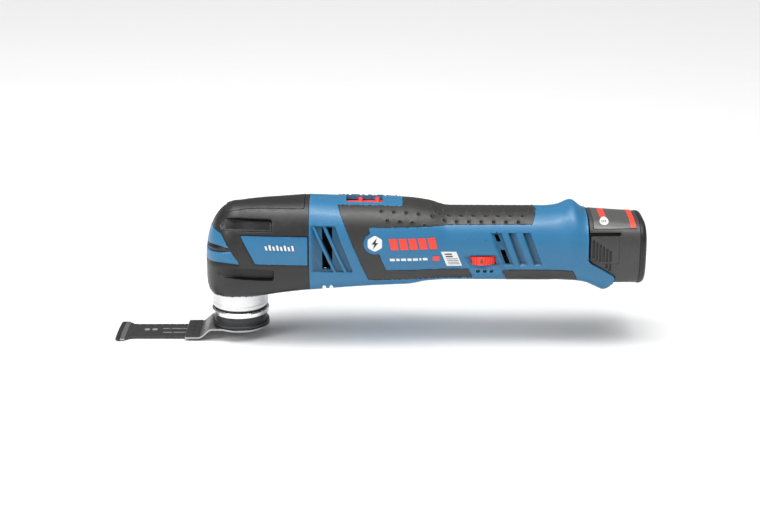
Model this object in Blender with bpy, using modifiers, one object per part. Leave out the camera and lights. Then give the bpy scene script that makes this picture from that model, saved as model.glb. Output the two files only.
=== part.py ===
"""Cordless oscillating multi tool with a plunge saw blade, as an assembly.

Sizes are in millimetres and MM turns them into metres. X runs from the blade
to the battery, Z is up, and the origin is the end face of the clamp's push
rod, on the axis that the output spindle swings about. The left side is -Y.
"""
import math

import bmesh
import bpy
from mathutils import Matrix, Vector

MM = 0.001
GAP = 0.3                      # running and fitting gap between neighbours

# Body: x, top, widest height, bottom, half width, upper and lower squareness
STATIONS = [
    (0, 81.0, 44, 18.0, 23.0, 2.2, 4.6),
    (16, 82.5, 46, 19.8, 24.8, 2.4, 4.0),
    (30, 83.2, 48, 21.8, 26.0, 2.5, 3.6),
    (47, 84.0, 50, 23.4, 27.2, 2.6, 3.2),
    (64, 83.3, 51, 24.6, 28.0, 2.6, 3.0),
    (90, 82.7, 52, 26.3, 28.0, 2.6, 2.9),
    (111, 82.0, 52, 27.0, 27.4, 2.5, 2.8),
    (124, 80.3, 52, 29.2, 26.0, 2.5, 2.8),
    (138, 76.8, 52, 29.8, 24.5, 2.4, 2.8),
    (200, 76.6, 52, 29.5, 24.0, 2.4, 2.8),
    (208, 77.6, 52, 29.8, 24.7, 2.3, 2.8),
    (217, 81.2, 51, 29.8, 26.3, 2.2, 2.8),
    (226, 75.4, 50, 28.4, 26.3, 2.4, 2.8),
    (233, 74.5, 50, 24.8, 25.7, 2.6, 2.6),
    (239, 74.0, 49, 22.0, 25.5, 2.8, 2.4),
    (246, 73.5, 48, 21.8, 25.5, 2.8, 2.4),
]
NOSE_FRONT = (81.0, 40, 18.0, 21.5, 2.1, 6.5)   # section at the very front
NOSE_RADIUS = 21.5

HEAD_END = 47.0                # joint plane between head and housing
HEAD_WALL = 3.0
HOUSING_WALL = 2.6
GRIP_PROUD = 0.25              # overmould stands this far out of the shell
GRIP_DEPTH = 1.15
BAND_DEPTH = 1.2
BADGE_PROUD = 0.5

# Drive line
MOTOR_Z = 54.0
ECCENTRICITY = 0.64
FORK_CLEARANCE = 1.6           # each side, the linkage is open here
PIVOT_X, PIVOT_Z = -2.0, 73.0  # release lever pivot
LEVER_REACH = 9.3              # of its front end from the pivot

# Clamp spring
SPRING_LOW, SPRING_HIGH = 40.0, 58.0
SPRING_RADIUS, SPRING_WIRE, SPRING_TURNS = 4.3, 0.6, 5

# Dial, battery
DIAL_X, DIAL_Y = 158.2, -9.0
DIAL_RADIUS, DIAL_LOW, DIAL_HIGH = 15.5, 44.7, 50.6
PACK = (74.2, 51.0, 28.0, 24.0, 3.0, 3.2)
PACK_IN_FOOT = (72.3, 51.0, 31.8, 22.2, 3.0, 3.2)
PACK_FRONT, PACK_CAP, PACK_END = 227.3, 260.0, 264.4
STEM_FRONT = 190.0
CELL_RADIUS, CELL_FRONT, CELL_END = 9.2, 194.2, 259.2
CELLS = [(-9.4, 45.2), (9.4, 45.2), (0.0, 61.4)]
LATCH_X, LATCH_Y = 247.0, 22.6

FINISHES = {
    "blue": ((0.045, 0.20, 0.36), 0.45, 0.0),
    "black": ((0.028, 0.027, 0.027), 0.5, 0.0),
    "rubber": ((0.030, 0.029, 0.029), 0.7, 0.0),
    "red": ((0.80, 0.045, 0.025), 0.4, 0.0),
    "grey": ((0.20, 0.20, 0.21), 0.5, 0.0),
    "steel": ((0.62, 0.62, 0.62), 0.3, 1.0),
    "dark_steel": ((0.09, 0.09, 0.095), 0.4, 1.0),
    "die_cast": ((0.55, 0.56, 0.57), 0.4, 1.0),
    "copper": ((0.62, 0.26, 0.12), 0.35, 1.0),
    "board": ((0.02, 0.12, 0.05), 0.5, 0.0),
    "magnet": ((0.07, 0.07, 0.075), 0.45, 0.6),
    "cell": ((0.10, 0.35, 0.22), 0.4, 0.0),
}


# ---------------------------------------------------------------- helpers

def clear_scene():
    for item in list(bpy.data.objects):
        bpy.data.objects.remove(item, do_unlink=True)


def new_collection(name):
    group = bpy.data.collections.new(name)
    bpy.context.scene.collection.children.link(group)
    return group


clear_scene()
PARTS = new_collection("oscillating_multi_tool")
CUTTERS = new_collection("cutters")


def finish(name):
    """The Principled material of a finish, made on first use."""
    found = bpy.data.materials.get(name)
    if found:
        return found
    colour, roughness, metallic = FINISHES[name]
    made = bpy.data.materials.new(name)
    made.use_nodes = True
    shader = made.node_tree.nodes["Principled BSDF"]
    shader.inputs["Base Color"].default_value = (*colour, 1.0)
    shader.inputs["Roughness"].default_value = roughness
    shader.inputs["Metallic"].default_value = metallic
    made.diffuse_color = (*colour, 1.0)
    return made


def place(name, mesh, look):
    """Link a mesh as a part, or as a cutter when it has no look."""
    item = bpy.data.objects.new(name, mesh)
    if look:
        mesh.materials.append(finish(look))
        PARTS.objects.link(item)
    else:
        item.hide_render = True
        item.display_type = "WIRE"
        CUTTERS.objects.link(item)
    return item


def from_bmesh(name, bm, look):
    mesh = bpy.data.meshes.new(name)
    bm.to_mesh(mesh)
    bm.free()
    mesh.shade_smooth()
    mesh.set_sharp_from_angle(angle=math.radians(35))
    return place(name, mesh, look)


def box(name, low, high, look=None):
    bm = bmesh.new()
    bmesh.ops.create_cube(bm, size=1.0)
    size = [(b - a) * MM for a, b in zip(low, high)]
    middle = [(a + b) / 2 * MM for a, b in zip(low, high)]
    bmesh.ops.scale(bm, vec=size, verts=bm.verts)
    bmesh.ops.translate(bm, vec=middle, verts=bm.verts)
    return from_bmesh(name, bm, look)


def turned(name, profile, look=None, steps=32, centre=(0, 0, 0), axis="Z"):
    """Turn a closed (radius, height) outline about an axis at centre."""
    area = sum(a[0] * b[1] - b[0] * a[1]
               for a, b in zip(profile, profile[1:] + profile[:1]))
    points = profile if area < 0 else profile[::-1]
    on_axis = [i for i, p in enumerate(points) if p[0] == 0]
    bm = bmesh.new()
    verts = [bm.verts.new((r * MM, 0, z * MM)) for r, z in points]
    for i, vert in enumerate(verts):
        after = (i + 1) % len(verts)
        if not (i in on_axis and after in on_axis):
            bm.edges.new((vert, verts[after]))
    item = from_bmesh(name, bm, look)
    screw = item.modifiers.new("turn", "SCREW")
    screw.steps = screw.render_steps = steps
    screw.use_merge_vertices = True
    screw.merge_threshold = 1e-6
    screw.use_smooth_shade = False
    item.location = Vector(centre) * MM
    if axis == "X":
        item.rotation_euler = (0, math.radians(90), 0)
    if axis == "Y":
        item.rotation_euler = (math.radians(-90), 0, 0)
    return item


def disc(name, radius, low, high, look=None, hole=0.0, **options):
    """A plain cylinder or ring between two heights along its axis."""
    profile = [(hole, low), (radius, low), (radius, high), (hole, high)]
    return turned(name, profile, look, **options)


def prism(name, outline, low, high, look=None, across="Y"):
    """A flat outline, extruded. Across Y it is (x, z), across Z (x, y)."""
    curve = bpy.data.curves.new(name, "CURVE")
    curve.dimensions = "2D"
    curve.fill_mode = "BOTH"
    curve.extrude = (high - low) / 2 * MM
    spline = curve.splines.new("POLY")
    spline.points.add(len(outline) - 1)
    for point, (u, v) in zip(spline.points, outline):
        point.co = (u * MM, v * MM, 0, 1)
    spline.use_cyclic_u = True
    shape = bpy.data.objects.new(name, curve)
    middle = (low + high) / 2 * MM
    if across == "Y":
        shape.rotation_euler = (math.radians(90), 0, 0)
        shape.location = (0, middle, 0)
    elif across == "X":
        shape.rotation_euler = (math.radians(90), 0, math.radians(90))
        shape.location = (middle, 0, 0)
    else:
        shape.location = (0, 0, middle)
    CUTTERS.objects.link(shape)
    bpy.context.view_layer.update()
    ready = shape.evaluated_get(bpy.context.evaluated_depsgraph_get())
    mesh = bpy.data.meshes.new_from_object(ready)
    mesh.transform(shape.matrix_world)
    bpy.data.objects.remove(shape)
    bm = bmesh.new()
    bm.from_mesh(mesh)
    bpy.data.meshes.remove(mesh)
    bmesh.ops.remove_doubles(bm, verts=bm.verts, dist=1e-7)
    bmesh.ops.recalc_face_normals(bm, faces=bm.faces)
    return from_bmesh(name, bm, look)


def combine(item, kind, *others):
    """Add one Boolean modifier for each other object."""
    for other in others:
        step = item.modifiers.new(kind.lower(), "BOOLEAN")
        step.operation = kind
        step.object = other
        step.solver = "EXACT"
    return item


def cut(item, *others):
    return combine(item, "DIFFERENCE", *others)


def keep(item, *others):
    return combine(item, "INTERSECT", *others)


def weld(item, *others):
    return combine(item, "UNION", *others)


def pivot(name, x, y, z, parts):
    """An empty on a joint's axis that carries the parts moving with it."""
    empty = bpy.data.objects.new(name, None)
    empty.location = Vector((x, y, z)) * MM
    PARTS.objects.link(empty)
    for item in parts:
        item.parent = empty
        item.matrix_parent_inverse = Matrix.Translation(-empty.location)
    return empty


def grow(outline, distance):
    """Move every side of an outline outward, with mitred corners."""
    area = sum(a[0] * b[1] - b[0] * a[1]
               for a, b in zip(outline, outline[1:] + outline[:1]))
    points = outline if area > 0 else outline[::-1]
    moved = []
    for before, here, after in zip(points[-1:] + points, points,
                                   points[1:] + points[:1]):
        first = (Vector(here) - Vector(before)).normalized()
        second = (Vector(after) - Vector(here)).normalized()
        side = Vector((first.y + second.y, -first.x - second.x))
        scale = 2.0 / side.length_squared
        moved.append(tuple(Vector(here) + side * scale * distance))
    return moved


def arc(x, y, radius, start, end, count):
    angles = [math.radians(start + (end - start) * i / count)
              for i in range(count + 1)]
    return [(x + radius * math.cos(a), y + radius * math.sin(a))
            for a in angles]


# ------------------------------------------------------------ body surface

def section(x):
    """Section values at x, from the stations by a monotone cubic."""
    rows = STATIONS
    x = min(max(x, rows[0][0]), rows[-1][0])
    at = max(i for i in range(len(rows) - 1) if rows[i][0] <= x)
    span = rows[at + 1][0] - rows[at][0]
    t = (x - rows[at][0]) / span
    values = []
    for column in range(1, 7):
        slopes = [(b[column] - a[column]) / (b[0] - a[0])
                  for a, b in zip(rows, rows[1:])]
        ends = []
        for node in (at, at + 1):
            left = slopes[max(node - 1, 0)]
            right = slopes[min(node, len(slopes) - 1)]
            agree = left * right > 0
            ends.append(2 * left * right / (left + right) if agree else 0.0)
        low, high = rows[at][column], rows[at + 1][column]
        values.append((2 * t**3 - 3 * t**2 + 1) * low
                      + (t**3 - 2 * t**2 + t) * span * ends[0]
                      + (3 * t**2 - 2 * t**3) * high
                      + (t**3 - t**2) * span * ends[1])
    return values


def squircle(values, phi):
    """Radius and height on a section, phi running from top to bottom."""
    top, wide, bottom, half, upper, lower = values
    c, s = math.cos(phi), math.sin(phi)
    power = 2 / (upper if c >= 0 else lower)
    reach = top - wide if c >= 0 else wide - bottom
    height = wide + math.copysign(reach * abs(c) ** power, c)
    return half * abs(s) ** power, height


def body_point(s, phi, side):
    """A point of the body. Below zero, s is an arc length round the nose."""
    turn = max(-s, 0) / NOSE_RADIUS
    ease = math.sin(turn) ** 2
    values = [a + (b - a) * ease
              for a, b in zip(section(max(s, 0)), NOSE_FRONT)]
    radius, height = squircle(values, phi)
    x = s if s >= 0 else -radius * math.sin(turn)
    return Vector((x, side * radius * math.cos(turn), height)) * MM


def pack_point(x, phi, side):
    radius, height = squircle(PACK, phi)
    drop = (x - PACK_FRONT) / (PACK_END - PACK_FRONT) * 1.6
    if height > PACK[1]:
        height -= drop * (height - PACK[1]) / (PACK[0] - PACK[1])
    return Vector((x, side * radius, height)) * MM


def skin(name, point, paths, out, depth, look=None):
    """A wall that follows a surface, from out above it to depth below.

    Each path is a list of (s, side) columns that run from the top line to
    the bottom line, and the paths are welded where they meet.
    """
    bm = bmesh.new()
    for path in paths:
        grid = [[bm.verts.new(point(s, math.pi * j / ROWS, side))
                 for j in range(ROWS + 1)] for s, side in path]
        for left, right in zip(grid, grid[1:]):
            for j in range(ROWS):
                bm.faces.new((left[j], left[j + 1], right[j + 1], right[j]))
    bmesh.ops.remove_doubles(bm, verts=bm.verts, dist=2e-6)
    item = from_bmesh(name, bm, look)
    wall = item.modifiers.new("wall", "SOLIDIFY")
    wall.thickness = (out + depth) * MM
    wall.offset = 2 * out / (out + depth) - 1
    wall.use_even_offset = True
    return item


ROWS = 12
HEAD_S = [0, 9, 20, 33, HEAD_END + 3]
NOSE_STEPS = 5
NOSE_S = [-NOSE_RADIUS * math.pi / 2 * i / NOSE_STEPS
          for i in range(NOSE_STEPS, 0, -1)]
HOUSING_S = [HEAD_END - 3, 64, 84, 104, 113, 121, 129, 138, 169, 200,
             208, 213, 217, 222, 226, 231, 236, 241, 246, 250]


def both_sides(columns):
    """Paths for a tube round both sides of the body."""
    return [[(s, -1) for s in columns],
            [(s, 1) for s in reversed(columns)]]


def head_skin(name, out, depth, look=None):
    left, right = both_sides(NOSE_S + HEAD_S)
    path = [right + left[1:]]
    return skin(name, body_point, path, out, depth, look)


def housing_skin(name, out, depth, look=None, first=0, last=None):
    paths = both_sides(HOUSING_S[first:last])
    return skin(name, body_point, paths, out, depth, look)


def pack_skin(name, out, depth, look=None):
    paths = both_sides([PACK_FRONT - 1, 237, 250, PACK_CAP])
    return skin(name, pack_point, paths, out, depth, look)


def beyond(name, side):
    """A block that fills the far side of the joint plane between halves."""
    edge = side * GAP / 2
    low, high = sorted((edge, -side * 60))
    return box(name, (-120, low, -30), (300, high, 120))


# ------------------------------------------------------------ outlines (x, z)

BAND_UPPER = [(-30, 66.4), (-16.8, 66.0), (-10.0, 64.1), (-5.0, 55.6),
              (-30, 55.0)]
BAND_LOWER = [(-30, 53.8), (-3.4, 53.2), (2.1, 45.0), (-30, 44.8)]
BADGE = [(2.9, 63.8), (46.1, 64.5), (46.1, 45.8), (12.4, 45.8)]
SLOT_UPPER = [(23.3, 74.5), (2.1, 74.3), (-8.2, 73.7), (-11.3, 69.2),
              (-10, 66.3), (7.5, 66.5), (23.4, 66.8)]
SLOT_LOWER = [(24.2, 41.9), (-10.6, 42.1), (-12.9, 39.2), (-12.3, 35.7),
              (5.4, 34.3), (23.9, 34.2)]
BULGE = arc(89.4, 60.6, 7.4, -70, -245, 8)
GRIP = [(62.4, 90), (85.4, 35.0), (152.6, 35.0), (149.6, 42.2), (96.6, 42.4)]
GRIP += BULGE + [(85.0, 70.6), (190.6, 70.5), (199.5, 90)]
STRIP = [(171.2, 41.2), (217.0, 41.2), (224.2, 25), (178.4, 25)]
TONGUE = [(40, -11.5)] + arc(104.5, -8.5, 3, -90, 0, 3)
TONGUE += arc(104.5, 8.5, 3, 0, 90, 3) + [(40, 11.5)]
REAR_EDGE = [(226.5, 48.0), (229.1, 45.6), (242.1, 37.5), (244.4, 35.0),
             (244.3, 30.0), (242.8, 25.5), (240.0, 21.5), (236, 15)]
SLAT_LEAN = 0.4545             # x travel of a slat for each mm of drop
WINDOW_LEFT, WINDOW_RIGHT, WINDOW_TOP = 55.5, 62.0, 71.3
SLAT_A, SLAT_B, SLAT_WIDE = 49.0, 56.0, 1.8
REAR_SLOTS = [[(165.9, 65.4), (168.5, 65.4), (170.6, 60.6), (168.0, 60.6)],
              [(170.2, 55.1), (173.4, 55.1), (177.8, 44.9), (174.4, 44.9)]]
DIAL_WINDOW = [(149.6, 51.4), (167.0, 51.4), (168.2, 44.0), (152.2, 44.0)]
CHARGE_X, CHARGE_Z = (155.9, 160.3, 164.7), 40.5
BOSS_RADIUS = 3.2
SCREWS = [(54.6, 77.2), (61.6, 31.2), (129.0, 70.6), (183.0, 70.2)]
LATCH = [(228.2, 49.2), (234.0, 46.0), (246.2, 46.0), (246.2, 64.0),
         (228.2, 64.0)]
LABEL = [(230, 67), (257.4, 67), (257.4, 90), (230, 90)]


def slat_height(start, x):
    """Height at which a slat edge that starts at the window top meets x."""
    return WINDOW_TOP - (x - start) / SLAT_LEAN


def front_openings():
    """The three holes that two slanted slats leave in the front window."""
    left, right, top = WINDOW_LEFT, WINDOW_RIGHT, WINDOW_TOP
    a_low, a_high = SLAT_A, SLAT_A + SLAT_WIDE
    b_low, b_high = SLAT_B, SLAT_B + SLAT_WIDE
    first = [(left, slat_height(a_low, left)), (left, 42.6), (right, 42.6),
             (right, slat_height(a_low, right) + 0.2)]
    second = [(left, slat_height(a_high, left)),
              (right, slat_height(a_high, right)),
              (right, slat_height(b_low, right)), (b_low, top), (left, top)]
    third = [(b_high, top), (right, slat_height(b_high, right)), (right, top)]
    return [first, second, third]


# ------------------------------------------------------------------- head

def recess(name, outline, surface, out, depth):
    """A cutter for a shallow pocket that follows the surface."""
    block = prism(name + "_outline", outline, -45, 45)
    return keep(surface(name, out, depth), block)


def head_cover():
    cover = head_skin("head_cover", 0, HEAD_WALL, "black")
    cut(cover, disc("collar_hole", 19.2, 0, 30),
        box("head_end", (HEAD_END - GAP / 2, -45, 0), (80, 45, 100)))
    front = [(PIVOT_X, 95)] + arc(PIVOT_X, PIVOT_Z, LEVER_REACH + 0.4, 90,
                                  210, 12)
    front += [(0, 66), (6, 66), (6, 95)]
    plan = [(2, -10.3), (4, -10.62), (44.4, -16.1), (44.4, 16.1),
            (4, 10.62), (2, 10.3)]
    cut(cover, recess("band_upper_pocket", grow(BAND_UPPER, GAP), head_skin,
                      1, BAND_DEPTH + GAP))
    cut(cover, recess("band_lower_pocket", grow(BAND_LOWER, GAP), head_skin,
                      1, BAND_DEPTH + GAP))
    badge_hole = [(2.4, 64.1), (50, 64.8), (50, 45.5), (12.2, 45.5)]
    cut(cover, recess("badge_pocket", badge_hole, head_skin, 1,
                      BAND_DEPTH + GAP))
    for label, outline in (("upper", SLOT_UPPER), ("lower", SLOT_LOWER)):
        block = prism(f"slot_{label}_outline", outline, -45, 45)
        inner = box(f"slot_{label}_core", (-40, -9, 0), (60, 9, 90))
        pocket = keep(head_skin(f"slot_{label}", 1, 2.0), block)
        cut(cover, cut(pocket, inner))
    cut(cover, prism("lever_slot_front", front, -10.6, 10.6),
        prism("lever_slot", plan, 66, 95, across="Z"))


def nose_bands():
    for label, outline in (("upper", BAND_UPPER), ("lower", BAND_LOWER)):
        band = head_skin(f"nose_band_{label}", 0, BAND_DEPTH, "blue")
        keep(band, prism(f"band_{label}_outline", outline, -45, 45))


def side_badges():
    for label, side in (("left", -1), ("right", 1)):
        badge = head_skin(f"badge_{label}", BADGE_PROUD, BAND_DEPTH, "blue")
        low, high = sorted((side * 8, side * 45))
        keep(badge, prism(f"badge_{label}_outline", BADGE, low, high))


def gear_housing():
    outer = [(0, 10.2), (18.3, 10.2), (18.3, 24), (16.2, 27), (16.2, 56),
             (15.2, 60.5), (12.4, 65.4), (0, 65.4)]
    case = turned("gear_housing", outer, "die_cast", 28)
    rear = disc("rear_tube", 17.4, 8, 44.5, steps=24,
                centre=(0, 0, MOTOR_Z), axis="X")
    weld(case, rear)
    bore = [(0, 5), (14.6, 5), (14.6, 21.4), (9.6, 21.4), (9.6, 24),
            (13.2, 25), (13.2, 59.6), (9.9, 59.6), (9.9, 64.6), (7.35, 64.6),
            (7.35, 70), (0, 70)]
    cut(case, turned("gear_bore", bore, steps=20))
    tunnel = [(0, 4), (14.4, 4), (14.4, 36), (8.9, 36), (8.9, 50), (0, 50)]
    cut(case, turned("motor_bore", tunnel, steps=20,
                     centre=(0, 0, MOTOR_Z), axis="X"))
    return case


def release_lever():
    """The clamp lever: a plate over the head with a cam at its pivot."""
    lever = head_skin("release_lever", 0.3, 3.0, "black")
    plan = [(-12, -10.2), (4, -10.2)] + arc(40.7, -12.0, 3.2, -83, 0, 3)
    plan += arc(40.7, 12.0, 3.2, 0, 83, 3) + [(4, 10.2), (-12, 10.2)]
    keep(lever, prism("lever_plan", plan, 70, 100, across="Z"))
    front = arc(PIVOT_X, PIVOT_Z, LEVER_REACH, 90, 150, 8)
    front += arc(PIVOT_X, PIVOT_Z, 7.3, 175, 205, 3)
    side = [(60, 100), (PIVOT_X, 100)] + front + [(60, 71)]
    keep(lever, prism("lever_side", side, -20, 20))
    cam = arc(PIVOT_X, PIVOT_Z, 7.2, 165, 200, 3)
    cam += arc(PIVOT_X, PIVOT_Z, 4.6, 220, 355, 6)
    cam += [(3.0, 78.5), (-4.4, 78.5)]
    weld(lever, prism("lever_cam", cam, -6.0, 6.0))
    cut(lever, disc("pin_hole", 2.2, -9.5, 9.5, steps=12,
                    centre=(PIVOT_X, 0, PIVOT_Z), axis="Y"))
    pivot("lever_pivot", PIVOT_X, 0, PIVOT_Z, [lever])


def lever_pin():
    disc("lever_pin", 1.9, -9.2, 9.2, "steel", steps=12,
         centre=(PIVOT_X, 0, PIVOT_Z), axis="Y")


# ---------------------------------------------------------------- housing

def vent_cutters():
    cutters = [prism(f"front_vent_{i}", outline, -45, 45)
               for i, outline in enumerate(front_openings(), 1)]
    cutters += [prism(f"rear_vent_{i}", outline, -45, 45)
                for i, outline in enumerate(REAR_SLOTS, 1)]
    return cutters


def grip_pocket(label):
    """The pocket in a housing half that its overmould fills."""
    pocket = housing_skin(f"grip_pocket_{label}", 1, GRIP_DEPTH + GAP,
                          last=11)
    keep(pocket, prism(f"grip_pocket_{label}_outline", grow(GRIP, GAP),
                       -45, 45))
    tongue = [(x - GAP, y * 0.974) for x, y in TONGUE]
    cut(pocket, prism(f"tongue_{label}_inner", tongue, 60, 100, across="Z"))
    under = housing_skin(f"strip_pocket_{label}", 1, GRIP_DEPTH + GAP,
                         first=7, last=17)
    keep(under, prism(f"strip_pocket_{label}_outline", grow(STRIP, GAP),
                      -45, 45))
    return [pocket, under]


def wall_reach(x, z):
    """Half width of the body at a place along its length and height."""
    values = section(x)
    best = min((abs(squircle(values, math.pi * i / 400)[1] - z), i)
               for i in range(401))
    return squircle(values, math.pi * best[1] / 400)[0]


def boss_reach(x, z):
    """How far out a screw boss runs, so that it stays inside the wall."""
    edge = z + math.copysign(BOSS_RADIUS, z - 50)
    return wall_reach(x, edge) - 0.8


def housing_half(label, side, vents):
    shell = housing_skin(f"housing_{label}", 0, HOUSING_WALL, "blue")
    rear = REAR_EDGE + [(260, 15), (260, 95), (226.5, 95)]
    cut(shell, box(f"housing_front_{label}", (0, -45, 0),
                   (HEAD_END + GAP / 2, 45, 100)),
        prism(f"rear_edge_{label}", rear, -45, 45))
    for number, (x, z) in enumerate(SCREWS, 1):
        at = {"centre": (x, 0, z), "axis": "Y", "steps": 10}
        reach = boss_reach(x, z)
        low, high = sorted((-side * 2, side * reach))
        weld(shell, disc(f"boss_{label}_{number}", BOSS_RADIUS, low, high,
                         **at))
        if side > 0:
            cut(shell, disc(f"screw_way_{number}", 1.8, -5, 40, **at),
                disc(f"screw_seat_{number}", 3.0, reach - 1.5, 40, **at))
        else:
            cut(shell, disc(f"screw_core_{number}", 1.8, -9.4, 5, **at))
    cut(shell, *grip_pocket(label))
    cut(shell, *vents)
    cut(shell, box(f"switch_opening_{label}", (70.8, -7, 70),
                   (94.3, 7, 95)))
    if side < 0:
        cut(shell, prism("dial_window", DIAL_WINDOW, -45, -5),
            disc("dial_room", DIAL_RADIUS + 0.6, DIAL_LOW - 0.4,
                 DIAL_HIGH + 0.4, steps=24, centre=(DIAL_X, DIAL_Y, 0)))
        for number, x in enumerate(CHARGE_X, 1):
            cut(shell, disc(f"charge_hole_{number}", 1.5, -40, -5, steps=12,
                            centre=(x, 0, CHARGE_Z), axis="Y"))
    cut(shell, beyond(f"joint_plane_{label}", side))
    return shell


def grips(label, side):
    grip = housing_skin(f"grip_{label}", GRIP_PROUD, GRIP_DEPTH, "rubber",
                        last=11)
    keep(grip, prism(f"grip_{label}_outline", GRIP, -45, 45))
    cut(grip, prism(f"tongue_{label}", TONGUE, 60, 100, across="Z"),
        beyond(f"grip_plane_{label}", side))
    if side > 0:
        for number, (x, z) in enumerate(SCREWS[2:], 3):
            cut(grip, disc(f"grip_way_{number}", 3.4, 8, 40, steps=10,
                           centre=(x, 0, z), axis="Y"))
    strip = housing_skin(f"grip_strip_{label}", GRIP_PROUD, GRIP_DEPTH,
                         "rubber", first=7, last=17)
    keep(strip, prism(f"strip_{label}_outline", STRIP, -45, 45))
    cut(strip, beyond(f"strip_plane_{label}", side))


def housing_screws():
    """Recessed screws, driven in from the right side."""
    for number, (x, z) in enumerate(SCREWS, 1):
        seat = boss_reach(x, z) - 1.5 + GAP
        profile = [(0, -9.0), (1.5, -9.0), (1.5, seat), (2.7, seat),
                   (2.7, seat + 1.6), (0, seat + 1.6)]
        turned(f"housing_screw_{number}", profile, "dark_steel", 12,
               centre=(x, 0, z), axis="Y")


def charge_light_pipe():
    """One clear bar behind the wall with a lens in each of its holes."""
    face = wall_reach(CHARGE_X[1], CHARGE_Z) - 0.3
    back = face - HOUSING_WALL - 1.5
    pipe = box("charge_light_pipe", (CHARGE_X[0] - 2, -back, CHARGE_Z - 1.6),
               (CHARGE_X[-1] + 2, -back + 2.5, CHARGE_Z + 1.6), "grey")
    for number, x in enumerate(CHARGE_X, 1):
        weld(pipe, disc(f"charge_lens_{number}", 1.15, -face, -back + 1,
                        steps=12, centre=(x, 0, CHARGE_Z), axis="Y"))


# ------------------------------------------------------------- drive line

def motor():
    at = {"centre": (0, 0, MOTOR_Z), "axis": "X"}
    disc("stator_core", 21.0, 71, 95, "dark_steel", hole=12, **at)
    disc("stator_winding_front", 19.5, 64.5, 70.7, "copper", hole=12.6,
         steps=24, **at)
    disc("stator_winding_rear", 19.5, 95.3, 101.5, "copper", hole=12.6,
         steps=24, **at)
    bracket = [(8.9, 104.6), (21, 104.6), (21, 107.4), (11, 107.4),
               (11, 112), (8.9, 112)]
    turned("motor_end_bracket", bracket, "die_cast", 20, **at)
    disc("motor_bearing_front", 8.6, 36.4, 42.4, "steel", hole=3.3, steps=20,
         **at)
    disc("motor_bearing_rear", 8.6, 105, 111, "steel", hole=3.3, steps=20,
         **at)
    rotor = [disc("rotor_magnet", 11.2, 70, 96, "magnet", hole=3.3, steps=24,
                  **at),
             disc("motor_shaft", 3.0, 20.6, 113, "steel", steps=16, **at),
             cooling_fan(at), eccentric_bearing()]
    pivot("motor_axis", 0, 0, MOTOR_Z, rotor)


def cooling_fan(at):
    """A hub and back plate with nine straight blades."""
    profile = [(3.3, 50), (7, 50), (7, 57.6), (18.6, 57.6), (18.6, 58.8),
               (3.3, 58.8)]
    fan = turned("cooling_fan", profile, "grey", 27, **at)
    for i in range(9):
        blade = box(f"fan_blade_{i}", (51, 6.5, -0.6), (58.2, 18.0, 0.6))
        blade.location = (0, 0, MOTOR_Z * MM)
        blade.rotation_euler = (math.radians(40 * i), 0, 0)
        weld(fan, blade)
    return fan


def eccentric_bearing():
    """The ball bearing on the offset end of the motor shaft."""
    centre = (0, 0, MOTOR_Z + ECCENTRICITY)
    return disc("eccentric_bearing", 6.0, 22.6, 29.4, "steel", hole=3.95,
                steps=20, centre=centre, axis="X")


def spindle_group():
    """Everything that swings with the output spindle."""
    tube = [(7.5, 5.3), (7.5, 60.6), (6.8, 60.6), (6.8, 65.2), (5.9, 65.2),
            (5.9, SPRING_LOW), (2.9, SPRING_LOW), (2.9, 5.3)]
    spindle = turned("output_spindle", tube, "steel", 18)
    ring = disc("holder_ring", 19.0, 5.3, 9.0, "steel", hole=8.4, steps=30)
    holder = turned("tool_holder", [(10.4, -2.1), (18.9, -2.1), (18.9, -0.3),
                                    (17.4, 0.6), (17.4, 5.0), (3.0, 5.0),
                                    (3.0, 2.9), (10.4, 2.9)],
                    "black", 30)
    return [spindle, ring, holder, oscillation_fork(),
            clamp_spring()] + blade()


def clamp_spring():
    """The coil between the spindle's shoulder and the push rod's collar."""
    low, high = SPRING_LOW + GAP, SPRING_HIGH - GAP
    curve = bpy.data.curves.new("clamp_spring_path", "CURVE")
    curve.dimensions = "3D"
    curve.bevel_depth = SPRING_WIRE * MM
    curve.bevel_resolution = 1
    curve.use_fill_caps = True
    count = SPRING_TURNS * 10
    spline = curve.splines.new("POLY")
    spline.points.add(count)
    for i, point in enumerate(spline.points):
        turn = 2 * math.pi * i / 10
        height = low + SPRING_WIRE + (high - low - 2 * SPRING_WIRE) * i / count
        point.co = (SPRING_RADIUS * math.cos(turn) * MM,
                    SPRING_RADIUS * math.sin(turn) * MM, height * MM, 1)
    path = bpy.data.objects.new("clamp_spring_path", curve)
    CUTTERS.objects.link(path)
    bpy.context.view_layer.update()
    ready = path.evaluated_get(bpy.context.evaluated_depsgraph_get())
    mesh = bpy.data.meshes.new_from_object(ready)
    bpy.data.objects.remove(path)
    bm = bmesh.new()
    bm.from_mesh(mesh)
    bpy.data.meshes.remove(mesh)
    bmesh.ops.remove_doubles(bm, verts=bm.verts, dist=1e-7)
    return from_bmesh("clamp_spring", bm, "steel")


def oscillation_fork():
    """A hub on the spindle with two arms either side of the bearing."""
    inner = 6.0 + FORK_CLEARANCE
    hub = disc("oscillation_fork", 12.2, 48.4, 59.2, "steel", hole=7.8,
               steps=24)
    for label, side in (("left", -1), ("right", 1)):
        low, high = sorted((side * inner, side * (inner + 3.4)))
        weld(hub, box(f"fork_arm_{label}", (4, low, 49), (30, high, 58.6)))
    cut(hub, disc("fork_bore", 7.8, 40, 70, steps=24))
    return hub


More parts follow.
